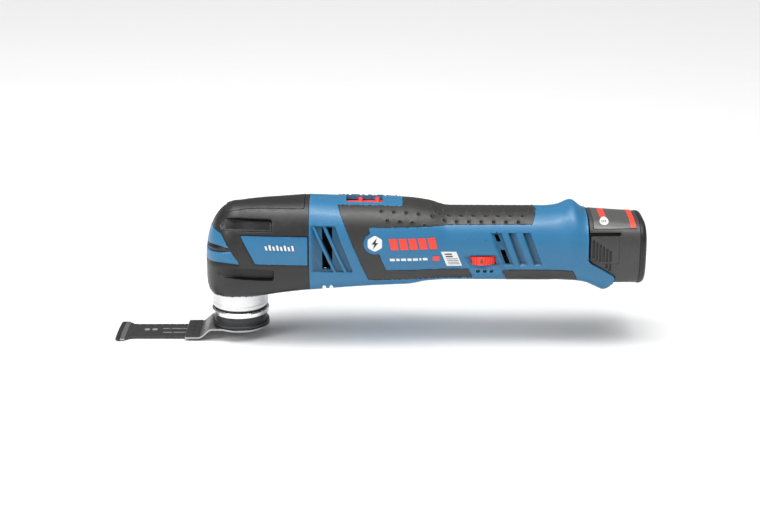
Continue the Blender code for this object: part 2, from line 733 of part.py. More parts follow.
def blade():
    """The accessory: carrier, saw strip and tooth strip."""
    carrier = disc("blade_carrier", 19.0, -3.6, -2.4, "steel", hole=6.9,
                   steps=30)
    bend = [(-12, -2.4), (-19.6, -2.4), (-26.4, -8.3), (-36.3, -8.3),
            (-36.3, -9.2), (-25.9, -9.2), (-19.1, -3.6), (-12, -3.6)]
    weld(carrier, prism("carrier_arm", bend, -15.5, 15.5))
    strip = [(-25.5, -11.75), (-25.5, 11.75), (-73, 11.75), (-76, 16),
             (-78.6, 16), (-78.6, -16), (-76, -16), (-73, -11.75)]
    saw = prism("saw_strip", strip, -10.4, -9.5, "steel", across="Z")
    pitch, count = 1.6, 20
    edge = [(-78.9, -16), (-78.9, 16)]
    for i in range(count):
        y = 16 - pitch * i
        bow = 0.5 * (1 - (y / 16) ** 2)
        edge += [(-80.9 - bow, y), (-82.0 - bow, y - pitch * 0.8)]
    edge.append((-80.9, -16))
    teeth = prism("tooth_strip", edge, -10.5, -9.4, "dark_steel", across="Z")
    return [carrier, saw, teeth]


def clamp():
    """Push rod and the two jaws that hold the accessory."""
    rod = [(0, 0), (2.4, 0), (2.4, SPRING_HIGH), (5.3, SPRING_HIGH),
           (5.3, SPRING_HIGH + 1.6), (2.4, SPRING_HIGH + 1.6), (2.4, 68.0),
           (0, 68.0)]
    pivot("push_rod_slide", 0, 0, 0,
          [turned("push_rod", rod, "steel", 16)])
    for label, side in (("front", -1), ("rear", 1)):
        hook = [(side * 4.0, 2.4), (side * 5.9, 2.4), (side * 5.9, -4.0),
                (side * 8.0, -4.0), (side * 8.0, -5.2), (side * 4.0, -5.2)]
        jaw = prism(f"jaw_{label}", hook, -2.6, 2.6, "dark_steel")
        pivot(f"jaw_{label}_pivot", side * 5.1, 0, 1.6, [jaw])


def bearings_and_seal():
    disc("bearing_lower", 14.3, 11.4, 21.1, "steel", hole=7.8, steps=28)
    disc("bearing_upper", 9.6, 60.9, 64.3, "steel", hole=7.1, steps=20)
    disc("spindle_seal", 17.8, 9.3, 9.9, "rubber", hole=7.9, steps=24)


# ------------------------------------------------------------ electronics

def switch():
    """The sliding switch: button, its bar and the switch module."""
    button = box("switch_button", (69.4, -8.2, 77.4), (102.0, 8.2, 78.7),
                 "red")
    for number, x in enumerate((80.0, 91.0), 1):
        ridge = [(x - 1.8, 78.3), (x + 1.8, 78.3), (x + 1.1, 82.4),
                 (x - 1.1, 82.4)]
        weld(button, prism(f"switch_ridge_{number}", ridge, -6.2, 6.2))
    bar = [(76, 77.0), (119, 77.0), (119, 71.6), (117, 71.6), (117, 75.6),
           (76, 75.6)]
    slide = prism("switch_slide_bar", bar, -4, 4, "grey")
    pivot("switch_slide", 82, 0, 78, [button, slide])
    box("switch_module", (119.6, -8, 56), (140, 8, 66.4), "grey")


def electronics():
    box("control_board", (121, -13, 53.4), (176, 13, 55.0), "board")
    box("contact_block", (177, -12, 40), (189.4, 12, 65), "grey")
    disc("dial_potentiometer", 6.5, 37.6, 44.2, "grey", steps=20,
         centre=(DIAL_X, DIAL_Y, 0))


def speed_dial():
    """A thumb wheel with ribs all round its rim."""
    ribs = 24
    outline = []
    for i in range(ribs):
        start = 360 / ribs * i
        outline += arc(DIAL_X, DIAL_Y, DIAL_RADIUS, start, start + 9, 1)
        outline += arc(DIAL_X, DIAL_Y, DIAL_RADIUS - 0.5, start + 10,
                       start + 14, 1)
    dial = prism("speed_dial", outline, DIAL_LOW, DIAL_HIGH, "red",
                 across="Z")
    pivot("dial_axis", DIAL_X, DIAL_Y, DIAL_LOW, [dial])


# ---------------------------------------------------------------- battery

def cell_hull(radius):
    """The outline round three touching cells, in (y, z)."""
    low_left, low_right, top = CELLS
    points = arc(*low_left, radius, 150, 270, 6)
    points += arc(*low_right, radius, 270, 390, 6)
    points += arc(*top, radius, 30, 150, 6)
    return points


def pack_block(name, columns, look):
    """A closed block with the pack's section, from (x, shrink) columns."""
    steps = 28
    bm = bmesh.new()
    rings = []
    for x, shrink in columns:
        ring = []
        for i in range(steps):
            phi = 2 * math.pi * i / steps
            side = 1 if phi <= math.pi else -1
            point = pack_point(x, phi if side > 0 else 2 * math.pi - phi,
                               side)
            middle = Vector((x, 0, PACK[1])) * MM
            offset = point - middle
            offset *= 1 - shrink * MM / offset.length
            ring.append(bm.verts.new(middle + offset))
        rings.append(ring)
    for a, b in zip(rings, rings[1:]):
        for i in range(steps):
            j = (i + 1) % steps
            bm.faces.new((a[i], b[i], b[j], a[j]))
    bm.faces.new(rings[0])
    bm.faces.new(rings[-1][::-1])
    bmesh.ops.recalc_face_normals(bm, faces=bm.faces)
    return from_bmesh(name, bm, look)


def battery():
    case = pack_block("battery_case", [(PACK_FRONT, 1.2), (228.6, 0),
                                       (245, 0), (PACK_CAP - GAP / 2, 0)],
                      "black")
    wall = 1.2
    stem = prism("stem_outline", cell_hull(CELL_RADIUS + GAP + wall),
                 STEM_FRONT, 235, across="X")
    weld(case, stem)
    cut(case, prism("cell_space", cell_hull(CELL_RADIUS + GAP),
                    STEM_FRONT + 3, 270, across="X"))
    foot = grow([(226.5, 60)] + REAR_EDGE + [(220, 15), (220, 60)], 0.5)
    room = prism("foot_room", foot, -45, 45)
    core = [squircle(PACK_IN_FOOT, math.pi * i / 12) for i in range(13)]
    core += [(-y, z) for y, z in core[-2:0:-1]]
    cut(room, prism("foot_core", core, 200, 260, across="X"))
    cut(case, room)
    parts = [case, battery_end_cap(), battery_label(case)]
    for number, (y, z) in enumerate(CELLS, 1):
        parts.append(disc(f"cell_{number}", CELL_RADIUS, CELL_FRONT,
                          CELL_END, "cell", steps=16, centre=(0, y, z),
                          axis="X"))
    cut(case, box("contact_pocket", (STEM_FRONT - 1, -10.4, 46.6),
                  (STEM_FRONT + 1.9, 10.4, 58.4)))
    parts.append(box("battery_contacts", (STEM_FRONT + 0.3, -10, 47),
                     (STEM_FRONT + 1.6, 10, 58), "copper"))
    latches(case)
    pivot("battery_slide", STEM_FRONT, 0, 51, parts)


def battery_end_cap():
    columns = [(PACK_CAP + GAP / 2, 0), (262.2, 0.6), (263.6, 2.0),
               (PACK_END, 4.4)]
    return pack_block("battery_end_cap", columns, "black")


def battery_label(case):
    """Thin label that wraps over the top of the pack."""
    room = pack_skin("label_room", 1, 0.8)
    cut(case, keep(room, prism("label_room_outline", grow(LABEL, GAP),
                               -45, 45)))
    label = pack_skin("battery_label", 0, 0.5, "grey")
    return keep(label, prism("label_outline", LABEL, -45, 45))


def latches(case):
    for label, side in (("left", -1), ("right", 1)):
        room = pack_skin(f"latch_room_{label}", 1, 3.7)
        low, high = sorted((side * 10, side * 45))
        cut(case, keep(room, prism(f"latch_room_{label}_outline",
                                   grow(LATCH, 0.4), low, high)))
        latch = pack_skin(f"latch_{label}", 0, 1.9, "black")
        keep(latch, prism(f"latch_{label}_outline", LATCH, low, high))
        pivot(f"latch_{label}_hinge", LATCH_X, side * LATCH_Y, 55, [latch])


# ------------------------------------------------------------------ build

def build():
    head_cover()
    nose_bands()
    side_badges()
    gear_housing()
    release_lever()
    lever_pin()
    vents = vent_cutters()
    for label, side in (("left", -1), ("right", 1)):
        housing_half(label, side, vents)
        grips(label, side)
    housing_screws()
    charge_light_pipe()
    motor()
    bearings_and_seal()
    pivot("spindle_axis", 0, 0, 0, spindle_group())
    clamp()
    switch()
    electronics()
    speed_dial()
    battery()


build()
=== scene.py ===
"""Visual model of the cordless oscillating multi tool, round its CAD frame.

Lengths are in millimetres until a mesh is made, and MM turns them into metres.
X runs from the blade to the battery, Z is up, the left side is -Y.
"""
import math

import bmesh
import bpy
import numpy as np
from mathutils import Matrix, Vector
from mathutils.geometry import delaunay_2d_cdt


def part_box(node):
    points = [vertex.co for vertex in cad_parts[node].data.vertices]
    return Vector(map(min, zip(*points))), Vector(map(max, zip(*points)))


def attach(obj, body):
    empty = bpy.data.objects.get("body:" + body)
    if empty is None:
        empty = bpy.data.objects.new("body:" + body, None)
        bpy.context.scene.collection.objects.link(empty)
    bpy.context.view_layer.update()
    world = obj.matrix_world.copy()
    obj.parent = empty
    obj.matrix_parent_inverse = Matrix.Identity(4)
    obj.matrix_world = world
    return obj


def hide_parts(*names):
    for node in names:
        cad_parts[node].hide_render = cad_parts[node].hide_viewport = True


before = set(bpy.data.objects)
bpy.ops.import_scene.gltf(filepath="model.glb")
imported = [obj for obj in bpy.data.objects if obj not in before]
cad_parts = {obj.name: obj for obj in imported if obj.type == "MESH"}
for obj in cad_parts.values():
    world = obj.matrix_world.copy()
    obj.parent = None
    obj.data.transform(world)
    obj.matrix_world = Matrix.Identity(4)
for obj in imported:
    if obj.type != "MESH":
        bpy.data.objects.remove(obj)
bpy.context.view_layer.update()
MM = 0.001

# x, top, widest height, bottom, half width, upper and lower squareness
STATIONS = np.array([
    (0, 81.0, 44, 18.0, 23.0, 2.2, 4.6),
    (16, 82.5, 46, 19.8, 24.8, 2.4, 4.0),
    (30, 83.2, 48, 21.8, 26.0, 2.5, 3.6),
    (47, 84.0, 50, 23.4, 27.2, 2.6, 3.2),
    (64, 83.3, 51, 24.6, 28.0, 2.6, 3.0),
    (90, 82.7, 52, 26.3, 28.0, 2.6, 2.9),
    (111, 82.0, 52, 27.0, 27.4, 2.5, 2.8),
    (124, 80.3, 52, 29.2, 26.0, 2.5, 2.8),
    (138, 76.8, 52, 29.8, 24.5, 2.4, 2.8),
    (200, 76.6, 52, 29.5, 24.0, 2.4, 2.8),
    (208, 77.6, 52, 29.8, 24.7, 2.3, 2.8),
    (217, 81.2, 51, 29.8, 26.3, 2.2, 2.8),
    (226, 75.4, 50, 28.4, 26.3, 2.4, 2.8),
    (233, 74.5, 50, 24.8, 25.7, 2.6, 2.6),
    (239, 74.0, 49, 22.0, 25.5, 2.8, 2.4),
    (246, 73.5, 48, 21.8, 25.5, 2.8, 2.4)])
NOSE_FRONT = np.array((81.0, 40, 18.0, 21.5, 2.1, 6.5))
NOSE_RADIUS = 21.5              # the nose is turned about the spindle
NOSE_END = -NOSE_RADIUS * math.pi / 2
PACK = np.array((74.2, 51.0, 28.0, 24.0, 3.0, 3.2))
PACK_FRONT, PACK_CAP, PACK_END = 227.3, 260.0, 264.4
PACK_DROP, PACK_ABOVE = 2.6, 75.0   # fall of the top, a height clear of it

HEAD_END, SHUT = 47.0, 0.12     # joint plane, half a parting line
GRIP_PROUD, GRIP_DEPTH = 0.25, 1.4
PIVOT = (-2.0, 73.0)
DIAL, DIAL_RADIUS, DIAL_LEVEL = (158.2, -9.0), 15.4, 47.6
MOTOR_Z = 54.0
SIDES = (("left", -1), ("right", 1))


# ---------------------------------------------------------------- surfaces

def body_values(s):
    """Section values along the body, by a monotone cubic."""
    x, v = STATIONS[:, 0], STATIONS[:, 1:]
    slope = np.diff(v, axis=0) / np.diff(x)[:, None]
    left = np.vstack([slope[:1], slope])
    right = np.vstack([slope, slope[-1:]])
    both = left + right
    both[both == 0] = 1
    ends = np.where(left * right > 0, 2 * left * right / both, 0)
    at = np.clip(s, x[0], x[-1])
    i = np.clip(np.searchsorted(x, at, side="right") - 1, 0, len(x) - 2)
    span = (x[i + 1] - x[i])[:, None]
    t = (at - x[i])[:, None] / span
    values = ((2 * t**3 - 3 * t**2 + 1) * v[i]
              + (t**3 - 2 * t**2 + t) * span * ends[i]
              + (3 * t**2 - 2 * t**3) * v[i + 1]
              + (t**3 - t**2) * span * ends[i + 1])
    turn = np.maximum(-s, 0) / NOSE_RADIUS
    return values + (NOSE_FRONT - values) * (np.sin(turn) ** 2)[:, None]


def pack_values(s):
    """Section values along the battery, whose top drops to the rear."""
    values = np.tile(PACK, (len(s), 1))
    values[:, 0] -= PACK_DROP * (s - PACK_FRONT) / (PACK_END - PACK_FRONT)
    return values


class Surface:
    """A tube of sections, addressed by length s and girth g from the top."""

    def __init__(self, first, last, values, columns=401):
        self.first, self.pitch = first, 0.5
        count = int((last - first) / self.pitch) + 2
        self.s = first + self.pitch * np.arange(count)
        top, wide, low, half, up, down = values(self.s).T[:, :, None]
        ease = (1 - np.cos(np.linspace(0, math.pi, 401))) * math.pi / 4
        phi = np.concatenate([ease, math.pi / 2 + ease[1:]])[None, :]
        upper = phi < math.pi / 2
        power = 2 / np.where(upper, up, down)
        reach = np.where(upper, top - wide, low - wide)
        z = wide + reach * np.abs(np.cos(phi)) ** power
        r = half * np.abs(np.sin(phi)) ** power
        r[:, 0] = r[:, -1] = 0
        run = np.hypot(np.diff(r), np.diff(z)).cumsum(axis=1)
        run = np.hstack([np.zeros((count, 1)), run])
        self.girth = run[:, -1]
        even = np.linspace(0, 1, columns)
        self.r = np.array([np.interp(even * g, a, b) for g, a, b
                           in zip(self.girth, run, r)])
        self.z = np.array([np.interp(even * g, a, b) for g, a, b
                           in zip(self.girth, run, z)])

    def row(self, s):
        """Radius, height and girth tables at one length."""
        at = np.clip((s - self.first) / self.pitch, 0, len(self.s) - 1.001)
        i, t = int(at), at - int(at)
        return (self.r[i] * (1 - t) + self.r[i + 1] * t,
                self.z[i] * (1 - t) + self.z[i + 1] * t,
                self.girth[i] * (1 - t) + self.girth[i + 1] * t)

    def total(self, s):
        return np.interp(s, self.s, self.girth)

    def at(self, s, g, side):
        """Points at (s, g); beyond a centre line they cross over."""
        side = np.where(g < 0, -1.0, 1.0) * side
        g = np.abs(g)
        over = s < NOSE_END
        s = np.where(over, 2 * NOSE_END - s, s)
        side = np.where(over, -side, side)
        i = np.clip((s - self.first) / self.pitch, 0, len(self.s) - 1.001)
        t = i - i.astype(int)
        i = i.astype(int)
        total = self.girth[i] * (1 - t) + self.girth[i + 1] * t
        over = g > total
        g = np.where(over, 2 * total - g, g)
        side = np.where(over, -side, side)
        j = np.clip(g / total * (self.r.shape[1] - 1), 0,
                    self.r.shape[1] - 1.001)
        u = j - j.astype(int)
        j = j.astype(int)

        def blend(table):
            return ((table[i, j] * (1 - t) + table[i + 1, j] * t) * (1 - u)
                    + (table[i, j + 1] * (1 - t)
                       + table[i + 1, j + 1] * t) * u)

        r, z = blend(self.r), blend(self.z)
        turn = np.maximum(-s, 0) / NOSE_RADIUS
        x = np.where(s >= 0, s, -r * np.sin(turn))
        return np.stack([x, side * r * np.cos(turn), z], axis=1)

    def from_side(self, x, z):
        """(s, g) of the point of one side seen at (x, z) from the side."""
        s = x
        for _ in range(1 if x >= 0 or self.first > 0 else 12):
            r, height, total = self.row(s)
            g = np.interp(-z, -height, np.linspace(0, total, len(r)))
            if x < 0:
                radius = np.interp(g, np.linspace(0, total, len(r)), r)
                s = -NOSE_RADIUS * math.asin(min(1, -x / max(radius, 1e-6)))
        return s, g

    def from_plan(self, x, y, low=False):
        """(s, g) of the point seen at (x, y) from above or from below."""
        reach = math.hypot(min(x, 0), y)
        s = x if x >= 0 else -NOSE_RADIUS * math.atan2(-x, abs(y))
        r, _, total = self.row(s)
        g = np.linspace(0, total, len(r))
        top = int(np.argmax(r))
        if low:
            return s, np.interp(-reach, -r[top:], g[top:])
        return s, np.interp(reach, r[:top + 1], g[:top + 1])


BODY = Surface(NOSE_END, 250, body_values)
CASE = Surface(PACK_FRONT - 4, PACK_END + 2, pack_values)


# ---------------------------------------------------------------- outlines

def dense(points, pitch=0.8, closed=True):
    """The same path with no gap longer than pitch."""
    points = [np.array(p, float) for p in points]
    after = points[1:] + points[:1] if closed else points[1:]
    path = []
    for a, b in zip(points, after):
        n = max(1, math.ceil(np.linalg.norm(b - a) / pitch))
        path += [a + (b - a) * i / n for i in range(n)]
    return path if closed else path + [points[-1]]


def rounded(points, radius, steps=5):
    """A closed outline with its corners rounded. radius may be a list."""
    path, n = [], len(points)
    for i, here in enumerate(points):
        r = radius[i] if isinstance(radius, (list, tuple)) else radius
        here = Vector(here)
        a = Vector(points[i - 1]) - here
        b = Vector(points[(i + 1) % n]) - here
        angle = a.angle(b)
        if r <= 0 or angle > math.radians(176):
            path.append(tuple(here))
            continue
        back = min(r / math.tan(angle / 2), a.length * 0.48, b.length * 0.48)
        r = back * math.tan(angle / 2)
        a.normalize()
        b.normalize()
        centre = here + (a + b).normalized() * (r / math.sin(angle / 2))
        start = here + a * back - centre
        end = here + b * back - centre
        sweep = math.atan2(start.x * end.y - start.y * end.x, start.dot(end))
        for k in range(steps + 1):
            t = sweep * k / steps
            path.append((centre.x + start.x * math.cos(t)
                         - start.y * math.sin(t),
                         centre.y + start.x * math.sin(t)
                         + start.y * math.cos(t)))
    return path


def arc(x, y, radius, start, end, count):
    angles = np.radians(np.linspace(start, end, count + 1))
    return [(x + radius * math.cos(a), y + radius * math.sin(a))
            for a in angles]


def oval(x, y, rx, ry, count=24):
    return [(x + rx * math.cos(a), y + ry * math.sin(a))
            for a in np.linspace(0, 2 * math.pi, count, endpoint=False)]


def rect(x0, y0, x1, y1):
    return [(x0, y0), (x1, y0), (x1, y1), (x0, y1)]


def side_path(points, radius=0.6, surface=BODY, closed=True):
    """A side view outline as (s, g) points of the surface."""
    if closed and radius:
        points = rounded(points, radius)
    return np.array([surface.from_side(x, z)
                     for x, z in dense(points, closed=closed)])


def plan_path(points, low=False, surface=BODY, pitch=0.8):
    """An open path in plan as (s, g) points of the surface."""
    return np.array([surface.from_plan(x, y, low)
                     for x, y in dense(points, pitch, closed=False)])


def signed_area(p):
    q = np.roll(p, -1, axis=0)
    return 0.5 * np.sum(p[:, 0] * q[:, 1] - q[:, 0] * p[:, 1])


def inside(points, polygon):
    """Even-odd test of many points."""
    x, y = points[:, 0:1], points[:, 1:2]
    a, b = polygon, np.roll(polygon, -1, axis=0)
    cross = (a[None, :, 1] > y) != (b[None, :, 1] > y)
    rise = np.where(b[:, 1] == a[:, 1], 1e-12, b[:, 1] - a[:, 1])
    at = a[:, 0] + (y - a[:, 1]) * (b[:, 0] - a[:, 0]) / rise
    return (cross & (x < at)).sum(axis=1) % 2 == 1


def distance(points, polygon, real=None):
    """Signed distance to a closed outline, positive inside it."""
    a, b = polygon, np.roll(polygon, -1, axis=0)
    if real is not None:
        a, b = a[real], b[real]
    best = np.full(len(points), 1e9)
    edge = b - a
    length = np.maximum((edge ** 2).sum(axis=1), 1e-12)
    for k in range(0, len(points), 4000):
        p = points[k:k + 4000, None, :] - a[None]
        t = np.clip((p * edge).sum(axis=2) / length, 0, 1)
        gap = np.linalg.norm(p - t[..., None] * edge, axis=2)
        best[k:k + 4000] = gap.min(axis=1) if len(a) else 1e9
    return np.where(inside(points, polygon), best, -best)


def left_of(outline):
    """The direction to the left of a closed outline at each point."""
    ahead = np.roll(outline, -1, axis=0) - outline
    ahead /= np.maximum(np.linalg.norm(ahead, axis=1), 1e-9)[:, None]
    tangent = ahead + np.roll(ahead, 1, axis=0)
    tangent /= np.maximum(np.linalg.norm(tangent, axis=1), 1e-9)[:, None]
    return np.stack([-tangent[:, 1], tangent[:, 0]], axis=1)


def ring_points(polygon, offsets, real=None):
    """Points alongside an outline, at several distances inside it."""
    if signed_area(polygon) < 0:
        polygon = polygon[::-1]
        real = None if real is None else np.roll(real[::-1], -1)
    normal = left_of(polygon)
    found = []
    for offset in offsets:
        if abs(offset) < 1e-6:
            continue
        p = polygon + normal * offset
        off = np.abs(distance(p, polygon, real) - offset)
        found.append(p[off < 0.04 + 0.06 * abs(offset)])
    return np.vstack(found) if found else np.zeros((0, 2))


# ----------------------------------------------------------------- reliefs

class Relief:
    """A height profile against the distance inside an outline."""

    def __init__(self, outline, gaps, heights, scale=None):
        self.outline = np.asarray(outline)
        self.gaps, self.heights = np.array(gaps), np.array(heights)
        self.scale = scale

    def height(self, uv, xyz):
        h = np.interp(distance(uv, self.outline), self.gaps, self.heights)
        return h if self.scale is None else h * self.scale(xyz)


def quarter(r):
    """(across, drop) of a quarter round from the flat to the vertical."""
    return [(r * (1 - math.cos(a)), r * (1 - math.sin(a)))
            for a in np.radians([90, 62, 38, 16, 0])]


def step(outline, height, lip=0.25, foot=0.3, wall=0.2, scale=None):
    """A flat floor sunk (negative) or raised (positive) inside an outline."""
    size, sign = abs(height), 1 if height > 0 else -1
    lip, foot = min(lip, size * 0.5), min(foot, size * 0.5)
    outer, inner = (foot, lip) if sign > 0 else (lip, foot)
    gaps, drops = [], []
    for across, drop in quarter(outer):
        gaps.append(-across)
        drops.append(drop)
    for across, drop in quarter(inner)[::-1]:
        gaps.append(wall + across)
        drops.append(size - drop)
    return Relief(outline, gaps, [sign * d for d in drops], scale)


def groove(outline, depth, slope=0.35, scale=None):
    """A soft groove whose floor is the inside of a narrow outline."""
    return Relief(outline, [-slope, -slope / 2, 0, slope / 2],
                  [0, -0.15 * depth, -0.75 * depth, -depth], scale)


def blend(x, low, high):
    t = np.clip((x - low) / (high - low), 0, 1)
    return t * t * (3 - 2 * t)


# ------------------------------------------------------------------ meshes

def sheet_normals(place, uv, reach=0.3):
    """Unit normals of a placed sheet."""
    du = place(uv + (reach, 0)) - place(uv - (reach, 0))
    dv = place(uv + (0, reach)) - place(uv - (0, reach))
    n = np.cross(du, dv)
    return n / np.maximum(np.linalg.norm(n, axis=1), 1e-12)[:, None]


def triangles(outer, holes, points):
    """Constrained Delaunay triangles inside outer and outside the holes."""
    loops = [outer] + list(holes)
    verts = np.vstack(loops + [points])
    edges, start = [], 0
    for loop in loops:
        n = len(loop)
        edges += [(start + i, start + (i + 1) % n) for i in range(n)]
        start += n
    result = delaunay_2d_cdt([Vector(v) for v in verts], edges, [], 0, 1e-5)
    uv = np.array([tuple(v) for v in result[0]])
    faces = np.array([f for f in result[2] if len(f) == 3])
    middle = uv[faces].mean(axis=1)
    good = inside(middle, outer)
    for hole in holes:
        good &= ~inside(middle, hole)
    faces = faces[good]
    used = np.unique(faces)
    index = np.full(len(uv), -1)
    index[used] = np.arange(len(used))
    return uv[used], index[faces]


def open_edges(faces):
    """Directed edges that only one triangle uses, in the order met."""
    found = {}
    for f in faces.tolist():
        for a, b in zip(f, f[1:] + f[:1]):
            if (b, a) in found:
                del found[b, a]
            else:
                found[a, b] = True
    return list(found)


def to_object(name, verts, faces, attributes=None, sharp=38):
    """Mesh object from millimetre points and a list of faces."""
    mesh = bpy.data.meshes.new(name)
    mesh.from_pydata(np.asarray(verts) * MM, [], [tuple(f) for f in faces])
    mesh.validate()
    for key, values in (attributes or {}).items():
        layer = mesh.attributes.new(key, "FLOAT", "POINT")
        layer.data.foreach_set("value", np.asarray(values, np.float32))
    mesh.shade_smooth()
    mesh.set_sharp_from_angle(angle=math.radians(sharp))
    item = bpy.data.objects.new(name, mesh)
    bpy.context.scene.collection.objects.link(item)
    return item


def finish(item, body, look, replaces=None, slot=None):
    """Dress a piece, put it on its body and hide the CAD part it replaces."""
    item.data.materials.append(LOOKS[look])
    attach(item, body)
    slot or SLOTS[look]
    if replaces:
        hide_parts(replaces)
    return item


def weld(verts, faces, tolerance=2e-3):
    """Merge points that coincide, as on a centre line."""
    key = np.round(verts / tolerance).astype(np.int64)
    _, first, index = np.unique(key, axis=0, return_index=True,
                                return_inverse=True)
    index = index.ravel()
    faces = index[faces]
    good = ((faces[:, 0] != faces[:, 1]) & (faces[:, 1] != faces[:, 2])
            & (faces[:, 2] != faces[:, 0]))
    return verts[first], faces[good], first


WEAR_REACH, SHADE_FULL_DEPTH = 0.5, 2.2   # wear's width, depth at which the painted shade is full


def panel(name, places, outer, holes=(), reliefs=(), real=None, lift=0.0,
          depth=2.0, edge=0.3, pitch=1.6, sculpt=None, more=(), sharp=38):
    """A closed moulded wall over a region of one or more placed sheets.

    real flags the outline's segments that are true edges; the others are
    cuts along a centre line. lift raises the face off the sheet, edge lets
    it down, depth is the wall under it, pitch the mesh size, and more are
    extra mesh points. sculpt adds heights to those of the reliefs.
    """
    outer = np.asarray(outer)
    holes = [np.asarray(h) for h in holes]
    rim_gap = [edge - a for a, _ in quarter(edge)][::-1] if edge else [0]
    rim_low = [-(edge - (edge ** 2 - (edge - g) ** 2) ** 0.5) if edge else 0
               for g in rim_gap]
    points = [ring_points(outer, rim_gap, real)]
    for hole in holes:
        points.append(ring_points(hole, [-g for g in rim_gap]))
    for relief in reliefs:
        points.append(ring_points(relief.outline, relief.gaps))
        points.append(relief.outline)
    low, high = outer.min(axis=0), outer.max(axis=0)
    across = np.arange(low[0], high[0], pitch)
    up = np.arange(low[1], high[1], pitch * 0.87)
    grid = np.array([(a + (k % 2) * pitch / 2, b)
                     for k, b in enumerate(up) for a in across])
    clear = distance(grid, outer, real) > edge + 0.4 * pitch
    for hole in holes:
        clear &= distance(grid, hole) < -edge - 0.4 * pitch
    for relief in reliefs:
        d = distance(grid, relief.outline)
        clear &= ((d < relief.gaps[0] - 0.35 * pitch)
                  | (d > relief.gaps[-1] + 0.35 * pitch))
    more = np.asarray(more).reshape(-1, 2)
    if len(more):
        near = np.array([np.min(np.abs(more - g).sum(axis=1)) if ok else 9
                         for g, ok in zip(grid, clear)])
        clear &= near > 0.5 * pitch
    points += [grid[clear], more]
    points = np.vstack(points)
    ok = distance(points, outer, None) > 0.02
    for hole in holes:
        ok &= distance(points, hole) < -0.02
    uv, faces = triangles(outer, holes, points[ok])

    gap = distance(uv, outer, real)
    for hole in holes:
        gap = np.minimum(gap, -distance(uv, hole))
    rise = np.interp(gap, rim_gap, rim_low) if edge else np.zeros(len(uv))
    sheets = []
    for place in places:
        xyz, normal = place(uv), sheet_normals(place, uv)
        middle = np.stack([np.maximum(xyz[:, 0], 0), 0 * gap,
                           np.full(len(gap), 50.0)], axis=1)
        if getattr(place, "upward", False):
            middle = xyz - (0, 0, 1)
        flip = np.sign(((xyz - middle) * normal).sum(axis=1))
        normal *= np.where(flip == 0, 1, flip)[:, None]
        centre = np.abs(xyz[:, 1]) < 2e-3
        normal[centre, 1] = 0
        xyz[centre, 1] = 0
        normal /= np.linalg.norm(normal, axis=1)[:, None]
        sunk = np.zeros(len(uv))
        for relief in reliefs:
            sunk += relief.height(uv, xyz)
        if sculpt:
            sunk += sculpt(uv, xyz)
        a, b, c = xyz[faces.T]
        up = (np.cross(b - a, c - a) * normal[faces[:, 0]]).sum(axis=1)
        turned_faces = np.where(up[:, None] < 0, faces[:, ::-1], faces)
        # The last mask is painted shade, which darkens a relief more the
        # deeper it sinks.
        sheets.append((xyz, normal, rise + sunk,
                       turned_faces + len(uv) * len(sheets),
                       np.clip(1 - gap / WEAR_REACH, 0, 1),
                       np.clip(-sunk / SHADE_FULL_DEPTH, 0, 1)))
    verts, normals, rise, faces, wear, recess_shade = (
        np.concatenate(parts) for parts in zip(*sheets))
    verts, faces, first = weld(verts, faces)
    normals, rise = normals[first], rise[first]
    extra = {"wear": np.tile(wear[first], 2),
             "recess_shade": np.tile(recess_shade[first], 2)}
    front = verts + normals * (lift + rise)[:, None]
    back = verts + normals * (np.minimum(rise, 0) * 0.9 - depth)[:, None]
    n = len(verts)
    skirt = [(b, a, a + n, b + n) for a, b in open_edges(faces)]
    shell = ([tuple(f) for f in faces] + [tuple(f[::-1] + n) for f in faces]
             + skirt)
    return to_object(name, np.vstack([front, back]), shell, extra, sharp)


def on(surface, side):
    """Where the points of an outline lie on one side of a surface."""
    return lambda uv: surface.at(uv[:, 0], uv[:, 1], side)


def both(surface):
    return [on(surface, -1), on(surface, 1)]


def turned(name, profile, soft=0.25, steps=144, centre=(0, 0, 0),
           axis="Z"):
    """Turn a closed (radius, height) profile, its corners rounded."""
    points = np.array(rounded(
        profile, [0 if p[0] < 1e-6 else soft for p in profile], 3))
    if signed_area(points) > 0:
        points = points[::-1]
    turn = np.linspace(0, 2 * math.pi, steps, endpoint=False)
    verts, rings = [], []
    for r, z in points:
        if r < 1e-6:
            rings.append([len(verts)] * steps)
            verts.append((0, 0, z))
            continue
        rings.append(list(range(len(verts), len(verts) + steps)))
        verts += list(np.stack([r * np.cos(turn), r * np.sin(turn),
                                np.full(steps, z)], axis=1))
    faces = []
    for a, b in zip(rings, rings[1:] + rings[:1]):
        if len(set(a)) == 1 and len(set(b)) == 1:
            continue
        for i in range(steps):
            j = (i + 1) % steps
            face = [a[i], b[i], b[j], a[j]]
            face = [v for k, v in enumerate(face) if v not in face[:k]]
            if len(face) > 2:
                faces.append(face)
    verts = np.array(verts, float)
    if axis == "X":
        verts = verts[:, [2, 1, 0]] * (1, -1, 1)
    elif axis == "Y":
        verts = verts[:, [0, 2, 1]] * (1, 1, -1)
    return to_object(name, verts + centre, faces, sharp=40)


